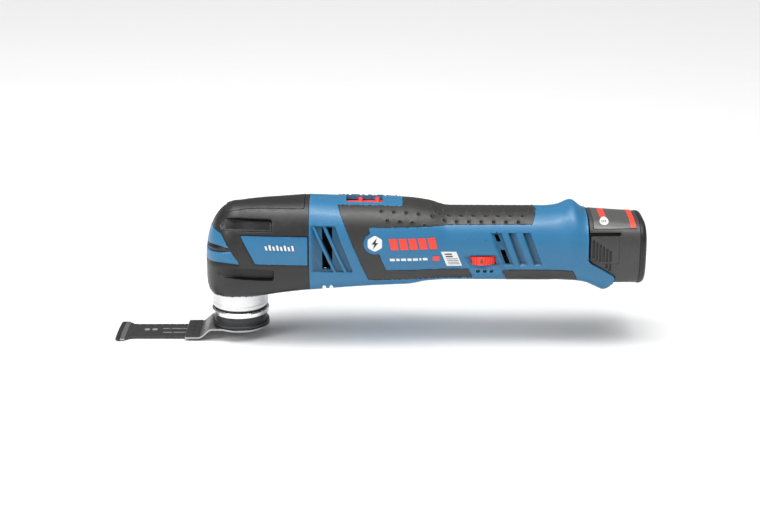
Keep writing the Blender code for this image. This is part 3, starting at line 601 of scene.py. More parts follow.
def slab(name, outline, low, high, across="Y", bevel=0.2, holes=(),
         segments=3):
    """A flat outline extruded between two levels, with softened edges."""
    loops = [np.array(outline, float)] + [np.array(h, float) for h in holes]
    uv, tris = triangles(loops[0], loops[1:], np.zeros((0, 2)))
    order = {"Y": [0, 2, 1], "X": [2, 0, 1], "Z": [0, 1, 2]}[across]

    def lay(level):
        flat = np.column_stack([uv, np.full(len(uv), level)])
        return flat[:, order]

    verts = np.vstack([lay(low), lay(high)])
    n = len(uv)
    faces = [tuple(f[::-1]) for f in tris] + [tuple(f + n) for f in tris]
    faces += [(a, b, b + n, a + n) for a, b in sorted(open_edges(tris))]
    if across == "Y":
        faces = [f[::-1] for f in faces]
    item = to_object(name, verts, faces)
    merge_flat(item)
    if bevel:
        soft = item.modifiers.new("soft_edges", "BEVEL")
        soft.width = bevel * MM
        soft.segments = segments
        soft.limit_method = "ANGLE"
        soft.angle_limit = math.radians(35)
        soft.harden_normals = True
        soft.use_clamp_overlap = True
    return item


def merge_flat(item):
    """Join the triangles of each flat end into one face."""
    bm = bmesh.new()
    bm.from_mesh(item.data)
    bmesh.ops.dissolve_limit(bm, angle_limit=math.radians(0.5),
                             verts=[], edges=bm.edges)
    bm.to_mesh(item.data)
    bm.free()
    item.data.shade_smooth()
    item.data.set_sharp_from_angle(angle=math.radians(38))


# --------------------------------------------------------------- materials

def shade(name, colour, rough, metal, grain, bump, mottle, wear=0.3,
          worn=0.0, coat=0.0, brushed=None, shade_paint=0.35, gloss=0.5):
    """A moulded plastic or a metal: grain, mottling, wear and painted shade.
    """
    colour, wear = (c if isinstance(c, tuple) else (c, c, c)
                    for c in (colour, wear))
    look = bpy.data.materials.new(name)
    look.use_nodes = True
    tree = look.node_tree
    shader = tree.nodes["Principled BSDF"]
    for socket, value in (("Metallic", metal), ("Coat Weight", coat),
                          ("Specular IOR Level", gloss),
                          ("Coat Roughness", 0.25)):
        shader.inputs[socket].default_value = value
    look.diffuse_color = (*colour, 1)

    def node(kind, **settings):
        made = tree.nodes.new(kind)
        for key, value in settings.items():
            setattr(made, key, value)
        return made

    where = node("ShaderNodeTexCoord").outputs["Object"]
    fine_at = where
    if brushed:
        stretch = node("ShaderNodeMapping")
        stretch.inputs["Scale"].default_value = brushed
        tree.links.new(where, stretch.inputs["Vector"])
        fine_at = stretch.outputs["Vector"]

    def noise(at, per_mm, detail=2.0, roughness=0.55):
        made = node("ShaderNodeTexNoise")
        made.inputs["Scale"].default_value = per_mm / MM
        made.inputs["Detail"].default_value = detail
        made.inputs["Roughness"].default_value = roughness
        tree.links.new(at, made.inputs["Vector"])
        return made.outputs["Fac"]

    def remap(value, low, high, start=0.3, end=0.7):
        made = node("ShaderNodeMapRange")
        for key, v in zip(("From Min", "From Max", "To Min", "To Max"),
                          (start, end, low, high)):
            made.inputs[key].default_value = v
        tree.links.new(value, made.inputs["Value"])
        return made.outputs["Result"]

    def maths(operation, a, b):
        made = node("ShaderNodeMath", operation=operation, use_clamp=True)
        for socket, v in zip(made.inputs, (a, b)):
            if isinstance(v, (int, float)):
                socket.default_value = v
            else:
                tree.links.new(v, socket)
        return made.outputs[0]

    def mix(factor, a, b):
        made = node("ShaderNodeMix", data_type="RGBA")
        tree.links.new(factor, made.inputs["Factor"])
        for socket, v in ((made.inputs["A"], a), (made.inputs["B"], b)):
            if isinstance(v, tuple):
                socket.default_value = (*v, 1)
            else:
                tree.links.new(v, socket)
        return made.outputs["Result"]

    def tint(amount):
        return tuple(min(c * amount, 1) for c in colour)

    fine = noise(fine_at, grain, 3.0, 0.6)
    cloud = noise(where, 0.06, 3.0)
    scuff = noise(where, 0.5, 4.0, 0.65)
    base = mix(remap(cloud, 0, 1), tint(1 - mottle), tint(1 + mottle))
    base = mix(remap(fine, 0, 1, 0.35, 0.65), base,
               mix(remap(scuff, 0, 1), tint(1 - mottle), tint(1 + mottle)))
    if worn:
        edge = node("ShaderNodeAttribute", attribute_name="wear")
        amount = maths("MULTIPLY", edge.outputs["Fac"],
                       remap(scuff, 0, worn, 0.35, 0.7))
        base = mix(amount, base, wear)
    # Painted shade: the deeper a recess, the more its colour is darkened to a
    # near-black tint.
    if shade_paint:
        deep = node("ShaderNodeAttribute", attribute_name="recess_shade")
        amount = maths("MULTIPLY", deep.outputs["Fac"], shade_paint)
        base = mix(amount, base, tint(0.12))
    tree.links.new(base, shader.inputs["Base Color"])
    tree.links.new(remap(scuff, rough - 0.1, rough + 0.1),
                   shader.inputs["Roughness"])
    relief = node("ShaderNodeBump")
    relief.inputs["Strength"].default_value = 1.0
    relief.inputs["Distance"].default_value = bump * MM
    tree.links.new(fine, relief.inputs["Height"])
    tree.links.new(relief.outputs["Normal"], shader.inputs["Normal"])
    return look


BLUE = (0.026, 0.168, 0.335)
# Material, colour, roughness, metal, grain (mm), bump (mm), mottling. One
# number for a colour is a grey.
# Besides these, a look may set its edge wear and how strongly painted shade
# darkens its recesses.
LOOKS = {
    "blue": shade("blue_shell", BLUE, 0.36, 0, 1.6, 0.01, 0.05,
                  wear=(0.16, 0.38, 0.56), worn=0.3, shade_paint=0.85),
    "black": shade("black_shell", (0.017, 0.016, 0.016), 0.4, 0, 1.1, 0.055,
                   0.15, wear=0.09, worn=0.5, shade_paint=0.9),
    "pack": shade("pack_shell", 0.05, 0.4, 0, 0.9, 0.07, 0.18, wear=0.1,
                  worn=0.4, shade_paint=0.95),
    "rubber": shade("grip_rubber", (0.028, 0.027, 0.026), 0.42, 0, 1.0, 0.06,
                    0.14, wear=0.11, worn=0.5, shade_paint=0.9),
    # Painted shadow: a near-black look for the shaded inside of the vents
    "painted_shadow": shade("painted_shadow_sheet", 0.004, 0.8, 0, 1.5, 0.03, 0.2, gloss=0.1),
    "red": shade("red_plastic", (0.92, 0.055, 0.035), 0.38, 0, 1.8, 0.012,
                 0.06, wear=(0.95, 0.28, 0.22), worn=0.4),
    "grey": shade("grey_plastic", (0.12, 0.12, 0.125), 0.5, 0, 1.6, 0.02, 0.1,
                  worn=0.2),
    "label": shade("label_film", (0.085, 0.083, 0.082), 0.36, 0, 0.9, 0.006,
                   0.1, worn=0.2, coat=0.3),
    "print_white": shade("print_white", (0.8, 0.81, 0.82), 0.4, 0, 1.6, 0.004,
                         0.03, shade_paint=0),
    "print_red": shade("print_red", (0.95, 0.065, 0.04), 0.38, 0, 1.6, 0.004,
                       0.04, shade_paint=0),
    "print_dark": shade("print_dark", 0.03, 0.45, 0, 1.6, 0.004, 0.06, shade_paint=0),
    "print_grey": shade("print_grey", (0.25, 0.25, 0.26), 0.45, 0, 1.6, 0.004,
                        0.06, shade_paint=0),
    "clear": shade("clear_plastic", (0.012, 0.013, 0.015), 0.15, 0, 1.6, 0.003,
                   0.1, coat=0.6),
    "die_cast": shade("die_cast", 0.86, 0.42, 0.45, 1.1, 0.03, 0.06),
    "steel": shade("bright_steel", (0.83, 0.83, 0.82), 0.24, 1, 1.5, 0.006,
                   0.05, brushed=(0.4, 0.4, 6.0)),
    "black_steel": shade("black_steel", (0.045, 0.045, 0.047), 0.38, 0.55, 1.4,
                         0.012, 0.12),
    "blade": shade("blade_steel", 0.42, 0.36, 1, 1.2, 0.01, 0.08,
                   brushed=(0.3, 5.0, 1.0)),
    "blade_dark": shade("blade_dark", (0.075, 0.075, 0.077), 0.42, 0.7, 1.2,
                        0.012, 0.16, brushed=(0.5, 4.0, 1.0)),
    "tooth": shade("tooth_steel", (0.055, 0.055, 0.057), 0.4, 0.7, 1.8, 0.015,
                   0.16),
    "heat": shade("weld_band", (0.45, 0.44, 0.42), 0.38, 1, 2.0, 0.02, 0.18),
    "core": shade("core_steel", (0.1, 0.1, 0.105), 0.45, 0.8, 1.5, 0.01, 0.1,
                  brushed=(6.0, 0.5, 0.5)),
    "copper": shade("copper_winding", (0.62, 0.26, 0.12), 0.34, 1, 1.0, 0.05,
                    0.12, brushed=(0.5, 2.5, 2.5)),
    "board": shade("circuit_board", (0.02, 0.12, 0.05), 0.4, 0, 0.7, 0.02,
                   0.25),
    "cell": shade("cell_wrap", (0.1, 0.35, 0.22), 0.35, 0, 0.8, 0.006, 0.08,
                  coat=0.3),
}

# The record's material slot that each look usually dresses
SLOTS = {"blue": "blue_shell", "black": "black_shell",
         "pack": "black_shell", "painted_shadow": "black_shell",
         "rubber": "grip_rubber", "red": "red_plastic",
         "label": "grey_plastic", "clear": "clear_plastic",
         "die_cast": "die_cast", "steel": "bright_steel",
         "black_steel": "black_steel", "blade": "blade_steel",
         "blade_dark": "blade_steel", "heat": "blade_steel",
         "tooth": "tooth_steel"}

KEPT_NODES = {
    "core": ("stator_core", "rotor_magnet"),
    "copper": ("stator_winding_front", "stator_winding_rear",
               "battery_contacts"),
    "die_cast": ("motor_end_bracket",),
    "steel": ("motor_bearing_front", "motor_bearing_rear", "motor_shaft",
              "eccentric_bearing", "bearing_lower", "bearing_upper",
              "lever_pin", "oscillation_fork", "clamp_spring",
              "output_spindle"),
    "black": ("cooling_fan",),
    "grey": ("switch_slide_bar", "switch_module", "contact_block",
             "dial_potentiometer"),
    "board": ("control_board",),
    "cell": ("cell_1", "cell_2", "cell_3"),
}


def dress_kept_nodes():
    """Procedural materials on the CAD nodes that stay in view."""
    for key, names in KEPT_NODES.items():
        for name in names:
            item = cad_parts[name]
            item.data.materials.clear()
            item.data.materials.append(LOOKS[key])
            for face in item.data.polygons:
                face.material_index = 0


# -------------------------------------------------------------- head cover

# The nose bands' rear edges, which are carried on round the nose
BAND_UPPER = [(-16.8, 66.0), (-10.0, 64.1), (-5.0, 55.6)]
BAND_LOWER = [(-3.4, 53.2), (2.1, 45.0)]
BADGE = [(2.9, 63.8), (46.1, 64.5), (46.1, 45.8), (12.4, 45.8)]
SLOT_UPPER = [(23.3, 74.5), (2.1, 74.3), (-8.2, 73.7), (-11.3, 69.2),
              (-10, 66.3), (7.5, 66.5), (23.4, 66.8)]
SLOT_LOWER = [(24.2, 41.9), (-10.6, 42.1), (-12.9, 39.2), (-12.3, 35.7),
              (5.4, 34.3), (23.9, 34.2)]
COLLAR_HOLE = 19.2
# Half of the release lever's plan, from its rear edge to its front edge
LEVER_REAR, LEVER_FRONT = 43.9, -6.9
LEVER_SIDE = [(LEVER_REAR, 0), (LEVER_REAR, 15.6), (4.0, 10.2),
              (LEVER_FRONT, 10.2), (LEVER_FRONT, 0)]
LEVER_CORNERS = [0, 1.4, 6.0, 2.6, 0]
LEVER_GAP = 0.22


def join_paths(*parts):
    """One closed domain outline from (path, real) parts, and its flags."""
    outline, real = [], []
    for path, solid in parts:
        path = np.asarray(path)
        outline.append(path[:-1])
        real += [solid] * (len(path) - 1)
    return np.vstack(outline), np.array(real)


def line(a, b, pitch=0.8):
    return np.array(dense([a, b], pitch, closed=False))


def low_line(start, end, surface=BODY, inset=0.0):
    """The bottom centre line between two lengths."""
    s = np.linspace(start, end, max(2, int(abs(end - start) / 0.8)))
    return np.column_stack([s, surface.total(s) - inset])


def head_outline():
    end = HEAD_END - SHUT
    rear = LEVER_REAR + LEVER_GAP
    lid = [(x + LEVER_GAP * (1 if x > 20 else -1 if x < 0 else 0),
            y + (LEVER_GAP if y else 0)) for x, y in LEVER_SIDE]
    opening = plan_path(rounded(lid, LEVER_CORNERS, 8))
    opening[0, 1] = 0
    opening[-1] = (NOSE_END, opening[-1, 1])
    hole = arc(0, 0, COLLAR_HOLE, 180, 0, 60)
    hole = plan_path([(x, abs(y)) for x, y in hole], low=True)
    hole[0, 0] = NOSE_END
    low = low_line(COLLAR_HOLE, end)
    hole[-1] = low[0]
    total = low[-1, 1]
    return join_paths(
        (line((end, 0), (rear, 0)), False), (opening, True),
        (line(opening[-1], hole[0]), False), (hole, True), (low, False),
        (line((end, total), (end, 0)), True))


def past_nose(outline):
    """A band's edge closed by a line past the nose's centre line."""
    path = side_path(outline, closed=False)
    top, low = path[0], path[-1]
    return np.vstack([path, line((NOSE_END - 6, low[1]),
                                 (NOSE_END - 6, top[1]))])


def slot_depth(xyz):
    """Head slots fade out towards the nose."""
    return 0.12 + 0.88 * blend(xyz[:, 0], -13, 4)


def head():
    """Head cover with its slots, nose bands and side panels."""
    outline, real = head_outline()
    reliefs = [step(past_nose(b), -1.3, 0.2, 0.1, 0.1)
               for b in (BAND_UPPER, BAND_LOWER)]
    badge = [(2.3, 64.2), (60, 65.2), (60, 45.4), (12.0, 45.4)]
    reliefs.append(step(side_path(badge, 0.5), -1.3, 0.2, 0.1, 0.1))
    for slot in (SLOT_UPPER, SLOT_LOWER):
        reliefs.append(step(side_path(slot, 1.6), -4.2, lip=0.4, foot=1.4,
                            wall=0.35, scale=slot_depth))
    cover = panel("head_cover_shell", both(BODY), outline,
                  reliefs=reliefs, real=real, depth=1.2, edge=0.35,
                  pitch=1.5)
    finish(cover, "housing", "black", "head_cover")
    for name, band in (("upper", BAND_UPPER), ("lower", BAND_LOWER)):
        path = side_path(band, closed=False)
        start, end = path[0].copy(), path[-1].copy()
        start[0] = end[0] = NOSE_END
        outline, real = join_paths(
            (np.vstack([[start], path, [end]]), True),
            (line(end, start), False))
        piece = panel(f"nose_band_{name}_strip", both(BODY),
                      outline, real=real, lift=0.12, depth=1.1, edge=0.3,
                      pitch=1.4)
        finish(piece, "housing", "blue", f"nose_band_{name}")
    for label, side in SIDES:
        badge = panel(f"badge_{label}_panel", [on(BODY, side)],
                      side_path(BADGE, 0.5), lift=0.5, depth=1.1, edge=0.5,
                      pitch=1.5)
        finish(badge, "housing", "blue", f"badge_{label}")


class Plan:
    """The top of the body as a height over (x, y), for the lever."""
    upward = True

    def __call__(self, uv):
        x, y = uv[:, 0], uv[:, 1]
        s = np.where(x >= 0, x, -NOSE_RADIUS
                     * np.arctan2(-x, np.maximum(np.abs(y), 1e-9)))
        top, wide, _, half, power, _ = body_values(s).T
        r = np.hypot(np.minimum(x, 0), y)
        rise = np.maximum(1 - (r / half) ** power, 0) ** (1 / power)
        return np.column_stack([x, y, wide + (top - wide) * rise])


def release_lever():
    """The clamp lever over the head, with the cam under it."""
    half = rounded(LEVER_SIDE, LEVER_CORNERS, 8)
    plan = half[1:-1] + [(x, -y) for x, y in half[-2:0:-1]]
    lid = panel("release_lever_plate", [Plan()], np.array(dense(plan)),
                lift=0.12, depth=2.5, edge=0.3, pitch=1.5)
    finish(lid, "release_lever", "black", "release_lever")
    cam = arc(*PIVOT, 7.2, 140, 205, 8) + arc(*PIVOT, 4.6, 220, 355, 12)
    cam += [(3.0, 78.9), (-6.0, 78.9)]
    cam = slab("release_lever_cam", cam, -6.0, 6.0, bevel=0.35,
               holes=[arc(*PIVOT, 2.1, 0, 345, 23)])
    finish(cam, "release_lever", "black")


# ----------------------------------------------------------------- housing

EMBLEM = (89.4, 60.6)
BULGE = arc(*EMBLEM, 7.4, -70, -245, 16)
GRIP_BACK = (190.6, 70.5), (199.5, 90.0)
TONGUE_HALF, TONGUE_END = 11.5, 107.5
STRIP = [(171.2, 41.2), (217.0, 41.2), (224.2, 25.0), (178.4, 25.0)]
REAR_EDGE = [(226.5, 48.0), (229.1, 45.6), (242.1, 37.5), (244.4, 35.2),
             (243.7, 31.2), (241.0, 27.0), (237.4, 23.2), (233.0, 20.5)]
SLAT_LEAN, SLAT_TOP = 0.4545, 71.3
VENT = [(47.6, 71.4), (63.9, 71.4), (75.4, 41.0), (47.6, 41.0)]
WINDOW_LEFT, WINDOW_RIGHT, WINDOW_TOP, WINDOW_LOW = 55.5, 62.0, 71.1, 42.6
SLAT_A, SLAT_B, SLAT_WIDE = 49.0, 56.0, 1.8
REAR_LEAN, REAR_TOP, REAR_LOW = 0.375, 66.0, 43.9
REAR_SLOTS = [[(165.9, 65.4), (168.5, 65.4), (170.4, 60.6), (167.8, 60.6)],
              [(169.9, 55.1), (172.9, 55.1), (176.8, 44.9), (173.8, 44.9)]]
DIAL_WINDOW = [(150.2, 51.3), (166.9, 51.3), (167.9, 44.4), (152.4, 44.4)]
SCREWS = [(54.6, 77.2), (61.6, 31.2), (129.0, 70.6), (183.0, 70.2)]
CHARGE_X, CHARGE_Z = (155.9, 160.3, 164.7), 40.5
BELLY_NOTCHES = (55.2, 59.7)


def grip_outline(inset=0.0):
    """The overmould's outline: along the tongue, over the top, round."""
    half = TONGUE_HALF + inset
    front, back = GRIP_BACK
    lean = (front[0] - back[0]) / (front[1] - back[1])
    tongue = [(65.4, half), (TONGUE_END - 3, half)]
    tongue += arc(TONGUE_END - 3, half - 3, 3 + inset, 90, 0, 8)[1:]
    tongue += [(TONGUE_END + inset, 0)]
    top = plan_path(tongue)
    top[-1, 1] = inset
    rear = front[0] + lean * (76.5 - front[1])
    lower = [(rear, 76.5), front, (85.0, 70.6)] + BULGE[::-1]
    lower += [(96.6, 42.4), (149.6, 42.2), (152.6, 35.0), (85.4, 35.0),
              (65.4, 82.8)]
    lower = rounded(lower, [0, 1.0, 1.2] + [0] * len(BULGE)
                    + [0.8, 0.6, 0.6, 1.0, 0])
    side = side_path(lower, 0, closed=False)
    side[0, 1] = inset
    centre = line(top[-1], side[0])
    return np.vstack([top[:-1], centre[:-1], side[:-1]])


def shrink(outline, inset):
    """Pull a domain outline in by a small even amount."""
    sign = 1 if signed_area(outline) > 0 else -1
    return outline + sign * inset * left_of(outline)


def front_vent_holes():
    """The three dark openings that the two slats leave."""
    left, right, top, low = WINDOW_LEFT, WINDOW_RIGHT, WINDOW_TOP, WINDOW_LOW
    gap = 0.5

    def drop(start, x):
        return SLAT_TOP - (x - start) / SLAT_LEAN

    a, b = SLAT_A - gap, SLAT_A + SLAT_WIDE + gap
    c, d = SLAT_B - gap, SLAT_B + SLAT_WIDE + gap
    first = [(left, drop(a, left)), (left, low), (right - 1.2, low),
             (right - 1.2, drop(a, right - 1.2))]
    second = [(left, drop(b, left)), (right, drop(b, right)),
              (right, drop(c, right)), (c + 0.1, top), (left, top)]
    third = [(d + 0.1, top), (right, drop(d, right)), (right, top)]
    return [first, second, third]


def vent_profile(u, points):
    return np.interp(u, [p[0] for p in points], [p[1] for p in points])


SLAT_PROFILE = [(SLAT_A - 0.3, 0), (SLAT_A, 1.35), (SLAT_A + 0.2, 1.5),
                (SLAT_A + SLAT_WIDE - 0.2, 1.5),
                (SLAT_A + SLAT_WIDE, 1.35), (SLAT_A + SLAT_WIDE + 0.3, 0)]
SLAT_PROFILE += [(x + SLAT_B - SLAT_A, h) for x, h in SLAT_PROFILE]
RIB_PROFILE = [(163.4, 0), (163.7, -0.2), (165.0, -1.1), (170.1, -1.3),
               (170.9, -0.3), (171.2, -0.1), (174.6, -0.1),
               (174.9, -0.3), (175.5, -2.0), (176.2, -2.1),
               (179.6, -0.9), (180.2, -0.3), (180.5, -0.1),
               (183.9, -0.1), (184.2, -0.3), (184.8, -2.0),
               (185.5, -2.1), (188.9, -1.2), (189.3, -0.2), (189.6, 0)]


def housing_sculpt(uv, xyz):
    """Slats of the front vent and ribs of the rear vent."""
    x, z = xyz[:, 0], xyz[:, 2]
    u = x - SLAT_LEAN * (SLAT_TOP - z)
    slats = vent_profile(u, SLAT_PROFILE) * blend(z, 40.9, 41.3)
    slats *= 1 - blend(z, 71.45, 71.7)
    short = np.clip(1 - np.abs(u - 42.9) / 0.8, 0, 1) * 0.7
    short *= blend(z, 44.2, 46) * (1 - blend(z, 54.5, 57))
    height = (slats + short) * front_vent_depth(xyz) * (
        (x > 47) & (x < 78) & (z > 40.9) & (z < 71.5))
    u = x - REAR_LEAN * (REAR_TOP - z)
    ribs = vent_profile(u, RIB_PROFILE)
    lip = np.clip(1 - np.abs(z - REAR_LOW) / 0.55, 0, 1) * 0.35
    lip *= ribs < -0.8
    ribs *= blend(z, REAR_LOW, 45.4) * (1 - blend(z, 65.7, REAR_TOP))
    ribs += lip
    height += ribs * ((x > 160) & (x < 200) & (z > 43.1) & (z < 66.1))
    return height


def vent_rails():
    """Mesh points along the slat and rib edges."""
    rails = [(u + SLAT_LEAN * (SLAT_TOP - z), z) for u, _ in SLAT_PROFILE
             for z in np.arange(41.2, 71.4, 0.7)]
    across = np.unique(np.concatenate(
        [[a[0], (2 * a[0] + b[0]) / 3, (a[0] + 2 * b[0]) / 3]
         if b[0] - a[0] > 1.5 else [a[0]]
         for a, b in zip(RIB_PROFILE, RIB_PROFILE[1:])] + [[189.6]]))
    for u in across:
        for z in np.concatenate([np.arange(43.2, 45.4, 0.35),
                                 np.arange(45.4, 65.0, 0.8),
                                 [65.3, 65.7, 65.85, REAR_TOP]]):
            rails.append((u + REAR_LEAN * (REAR_TOP - z), z))
    return np.array([BODY.from_side(x, z) for x, z in rails])


def front_vent_depth(xyz):
    """The front vent fades out towards the head."""
    return blend(xyz[:, 0], 47.4, 51.0)


def housing_outline():
    """One half's outline, round the switch opening and the notch."""
    front, gap = HEAD_END + SHUT, 0.06
    opening = [(70.8, 0), (70.8, 7.0), (94.3, 7.0), (94.3, 0)]
    opening = rounded(opening, [0, 1.0, 1.0, 0])
    opening = plan_path(opening)
    opening[0, 1] = opening[-1, 1] = gap
    edge = [(226.5, 75.3)] + REAR_EDGE
    edge = rounded(edge, [0, 3.0, 3.0, 1.5, 1.5, 2.0, 3.0, 3.0, 0])
    rear = side_path(edge, 0, closed=False)
    rear[0, 1] = gap
    rear = rear[rear[:, 1] < BODY.total(rear[:, 0]) - gap]
    low = low_line(rear[-1, 0], front, inset=gap)
    return np.vstack([line((front, gap), opening[0])[:-1], opening[:-1],
                      line(opening[-1], rear[0])[:-1], rear[:-1],
                      line(rear[-1], low[0])[:-1], low[:-1],
                      line(low[-1], (front, gap))[:-1]])


def vent_screens():
    """Painted shadow: near-black sheets behind the open slots of both vents.
    """
    shadow_sheets = [("front", 20.0, rect(54.5, 42.0, 63.0, 71.5)),
               ("low", 20.1, [(169.4, 44.6), (177.4, 44.6), (175.6, 51.0),
                              (169.4, 51.0)]),
               ("high", 18.5, [(168.2, 51.2), (175.6, 51.2), (169.6, 66.2),
                               (163.2, 66.2)])]
    for level, depth, outline in shadow_sheets:
        for label, side in SIDES:
            low, high = sorted((side * depth, side * (depth + 0.5)))
            shadow_sheet = slab(f"vent_shadow_sheet_{level}_{label}", outline,
                          low, high, bevel=0.1, segments=1)
            finish(shadow_sheet, "housing", "painted_shadow")


def in_pocket(outline):
    return step(outline, -GRIP_DEPTH, lip=0.2, foot=0.1, wall=0.12)


def pocket_past_centre(outline):
    """The grip's outline, carried over the centre line."""
    path = outline.copy()
    path[path[:, 1] < 0.5, 1] = -3
    return path


def belly_notch(x, wide=2.5, top=30.6):
    """A slot through the bottom edge, with a round upper end."""
    crown = arc(x + wide / 2, top - wide / 2, wide / 2, 0, 180, 10)
    upper = side_path(crown, 0, closed=False)
    far = float(BODY.total(x)) - 1.2
    return np.vstack([upper, line((x, upper[-1, 1]), (x, far))[1:],
                      line((x, far), (x + wide, far))[1:],
                      line((x + wide, far),
                           (x + wide, upper[0, 1]))[1:-1]])


def screw_seat(x, z):
    return step(side_path(oval(x, z, 3.0, 3.0), 0), -1.7, 0.25, 0.2, 0.15)


def housing():
    """Both halves, with pockets, vents, screw seats and windows."""
    grip = grip_outline()
    strip = side_path(STRIP, 0.6)
    shell_reliefs = [in_pocket(pocket_past_centre(grip)), in_pocket(strip),
                     step(side_path(VENT, 0.7), -1.5, 0.25, 0.3, 0.2,
                          front_vent_depth)]
    vents = [side_path(h, 0.25) for h in front_vent_holes()]
    vents += [side_path(h, 0.3) for h in REAR_SLOTS]
    vents += [belly_notch(x) for x in BELLY_NOTCHES]
    rails = vent_rails()
    for label, side in SIDES:
        reliefs, holes = list(shell_reliefs), list(vents)
        if side < 0:
            bay = [(146.0, 51.9), (168.4, 51.9), (172.3, 43.3),
                   (151.8, 43.3)]
            reliefs.append(step(side_path(bay, 0.8), -1.1, 0.3, 0.5, 1.4))
            plate = [(150.4, 42.9), (172.6, 42.9), (172.3, 36.0),
                     (153.2, 36.0)]
            reliefs.append(step(side_path(plate, 0.8), 0.45, 0.2, 0.2, 0.4))
            holes.append(side_path(DIAL_WINDOW, 0.5))
            holes += [side_path(oval(x, CHARGE_Z, 1.3, 1.3), 0)
                      for x in CHARGE_X]
        else:
            reliefs += [screw_seat(x, z) for x, z in SCREWS]
        shell = panel(f"housing_{label}_shell", [on(BODY, side)],
                      housing_outline(), holes, reliefs, depth=2.5,
                      edge=0.22, pitch=1.6, sculpt=housing_sculpt,
                      more=rails)
        finish(shell, "housing", "blue", f"housing_{label}")


# Dimple rows: first x, pitch, how many, y of the left grip's row
DIMPLES = [(93.5, 7.95, 4, -17.0), (97.4, 7.95, 4, -22.0),
           (125.0, 7.95, 9, -7.0), (129.0, 7.95, 8, -12.3),
           (126.0, 7.95, 8, -16.6)]


def dimple(spot):
    ring = np.array(oval(*spot, 0.95, 0.95, 14))
    return Relief(ring, [-0.5, -0.25, 0, 0.3, 0.55, 0.9],
                  [0, 0.10, -0.05, -0.75, -0.95, -1.0])


def grips():
    """Overmoulded grips with their dimples, and the lower strips."""
    spots = [dimple(BODY.from_plan(start + pitch * i, -y))
             for start, pitch, count, y in DIMPLES for i in range(count)]
    for label, side in SIDES:
        outline = shrink(grip_outline(0.06), 0.09)
        holes = []
        if side > 0:
            holes = [side_path(oval(x, z, 3.35, 3.35), 0)
                     for x, z in SCREWS[2:]]
        keep = [d for d in spots
                if all(distance(d.outline, h).max() < -0.8 for h in holes)]
        mould = panel(f"grip_{label}_mould", [on(BODY, side)], outline,
                      holes, keep, lift=GRIP_PROUD, depth=1.2, edge=0.45,
                      pitch=1.7)
        finish(mould, "housing", "rubber", f"grip_{label}")
        strip = panel(f"grip_strip_{label}_mould", [on(BODY, side)],
                      shrink(side_path(STRIP, 0.6), 0.09),
                      lift=GRIP_PROUD, depth=1.2, edge=0.4, pitch=1.7)
        finish(strip, "housing", "rubber", f"grip_strip_{label}")


# ------------------------------------------------------------------ prints

def decal(name, outline, look, lift=0.04, body="housing",
          slot="blue_shell", surface=BODY, soft=0.2):
    """A thin printed patch on the left side that follows the surface."""
    item = panel(name, [on(surface, -1)], side_path(outline, soft, surface),
                 lift=lift, depth=0.1 - lift, edge=0, pitch=2.5)
    return finish(item, body, look, slot=slot)


def lean_box(x, z, wide, high, lean=0.0):
    """A small parallelogram, its top shifted back by lean."""
    return [(x - lean, z + high), (x + wide - lean, z + high),
            (x + wide, z), (x, z)]


def prints():
    """Plain shapes where the tool carries its lettering and marks."""
    hexagon = arc(*EMBLEM, 5.3, 30, 330, 5)
    decal("emblem_disc", rounded(hexagon, 1.6, 4), "print_white")
    bolt = [(90.6, 64.2), (87.2, 60.2), (89.0, 60.2), (88.2, 57.0),
            (91.6, 61.2), (89.8, 61.2)]
    decal("emblem_bolt", bolt, "print_dark", lift=0.07, soft=0)
    for i in range(5):
        bar = lean_box(99.8 + 6.2 * i, 56.4, 4.9, 7.2, 1.6)
        decal(f"brand_bar_{i + 1}", bar, "print_red")
    start = 99.2
    for i, wide in enumerate((3.2, 2.2, 3.2, 2.6, 3.2, 1.4, 3.0), 1):
        decal(f"type_dash_{i}", lean_box(start, 49.0, wide, 1.7, 0.4),
              "print_white", soft=0.15)
        start += wide + 0.9
    decal("type_tag", lean_box(126.6, 48.4, 4.2, 3.0), "print_red")
    decal("rating_sticker", [(131.8, 54.4), (141.7, 54.2), (145.6, 44.6),
                             (135.7, 44.6)], "print_white")
    x, z = 135.0, 50.6              # lower left corner of the first mark
    for i in range(2):
        mark = lean_box(x - 0.64 * i, z + 1.6 * i, 4.6, 0.9, 0.3)
        decal(f"rating_mark_{i + 1}", mark, "print_dark", lift=0.07, soft=0)
    for i in range(4):
        down = 1.4 + 1.15 * i
        mark = lean_box(x + 0.38 * down, z - down, 7.2, 0.55, 0.2)
        decal(f"rating_line_{i + 1}", mark, "print_grey", lift=0.07, soft=0)
    for i in range(8):
        tick = lean_box(19.4 + 2.45 * i, 55.4, 1.3, (2.6, 3.4)[i % 2], 0.7)
        decal(f"badge_tick_{i + 1}", tick, "print_white", lift=0.54,
              soft=0.1)


# ------------------------------------------------------- controls, fittings

def switch():
    """The slide button: a plate, a raised middle and two ridges."""
    plate = rounded(rect(69.6, -8.1, 101.9, 8.1), 0.8)
    middle = rounded(rect(70.2, -6.5, 95.0, 6.5), 0.8)
    middle = np.array(dense(middle, 0.6))
    reliefs = [step(middle, 1.15, lip=0.3, foot=0.2, wall=0.1)]
    for x in (80.0, 91.0):
        ridge = rounded(rect(x - 1.5, -5.9, x + 1.5, 5.9), 1.2, 6)
        ridge = np.array(dense(ridge, 0.5))
        reliefs.append(step(ridge, 2.6, lip=0.8, foot=0.5, wall=0.15))

    def place(uv):
        return np.column_stack([uv, np.full(len(uv), 78.5)])

    place.upward = True
    button = panel("switch_button_slider", [place], np.array(dense(plate)),
                   reliefs=reliefs, lift=0.15, depth=1.0, edge=0.3,
                   pitch=1.3)
    finish(button, "switch", "red", "switch_button")


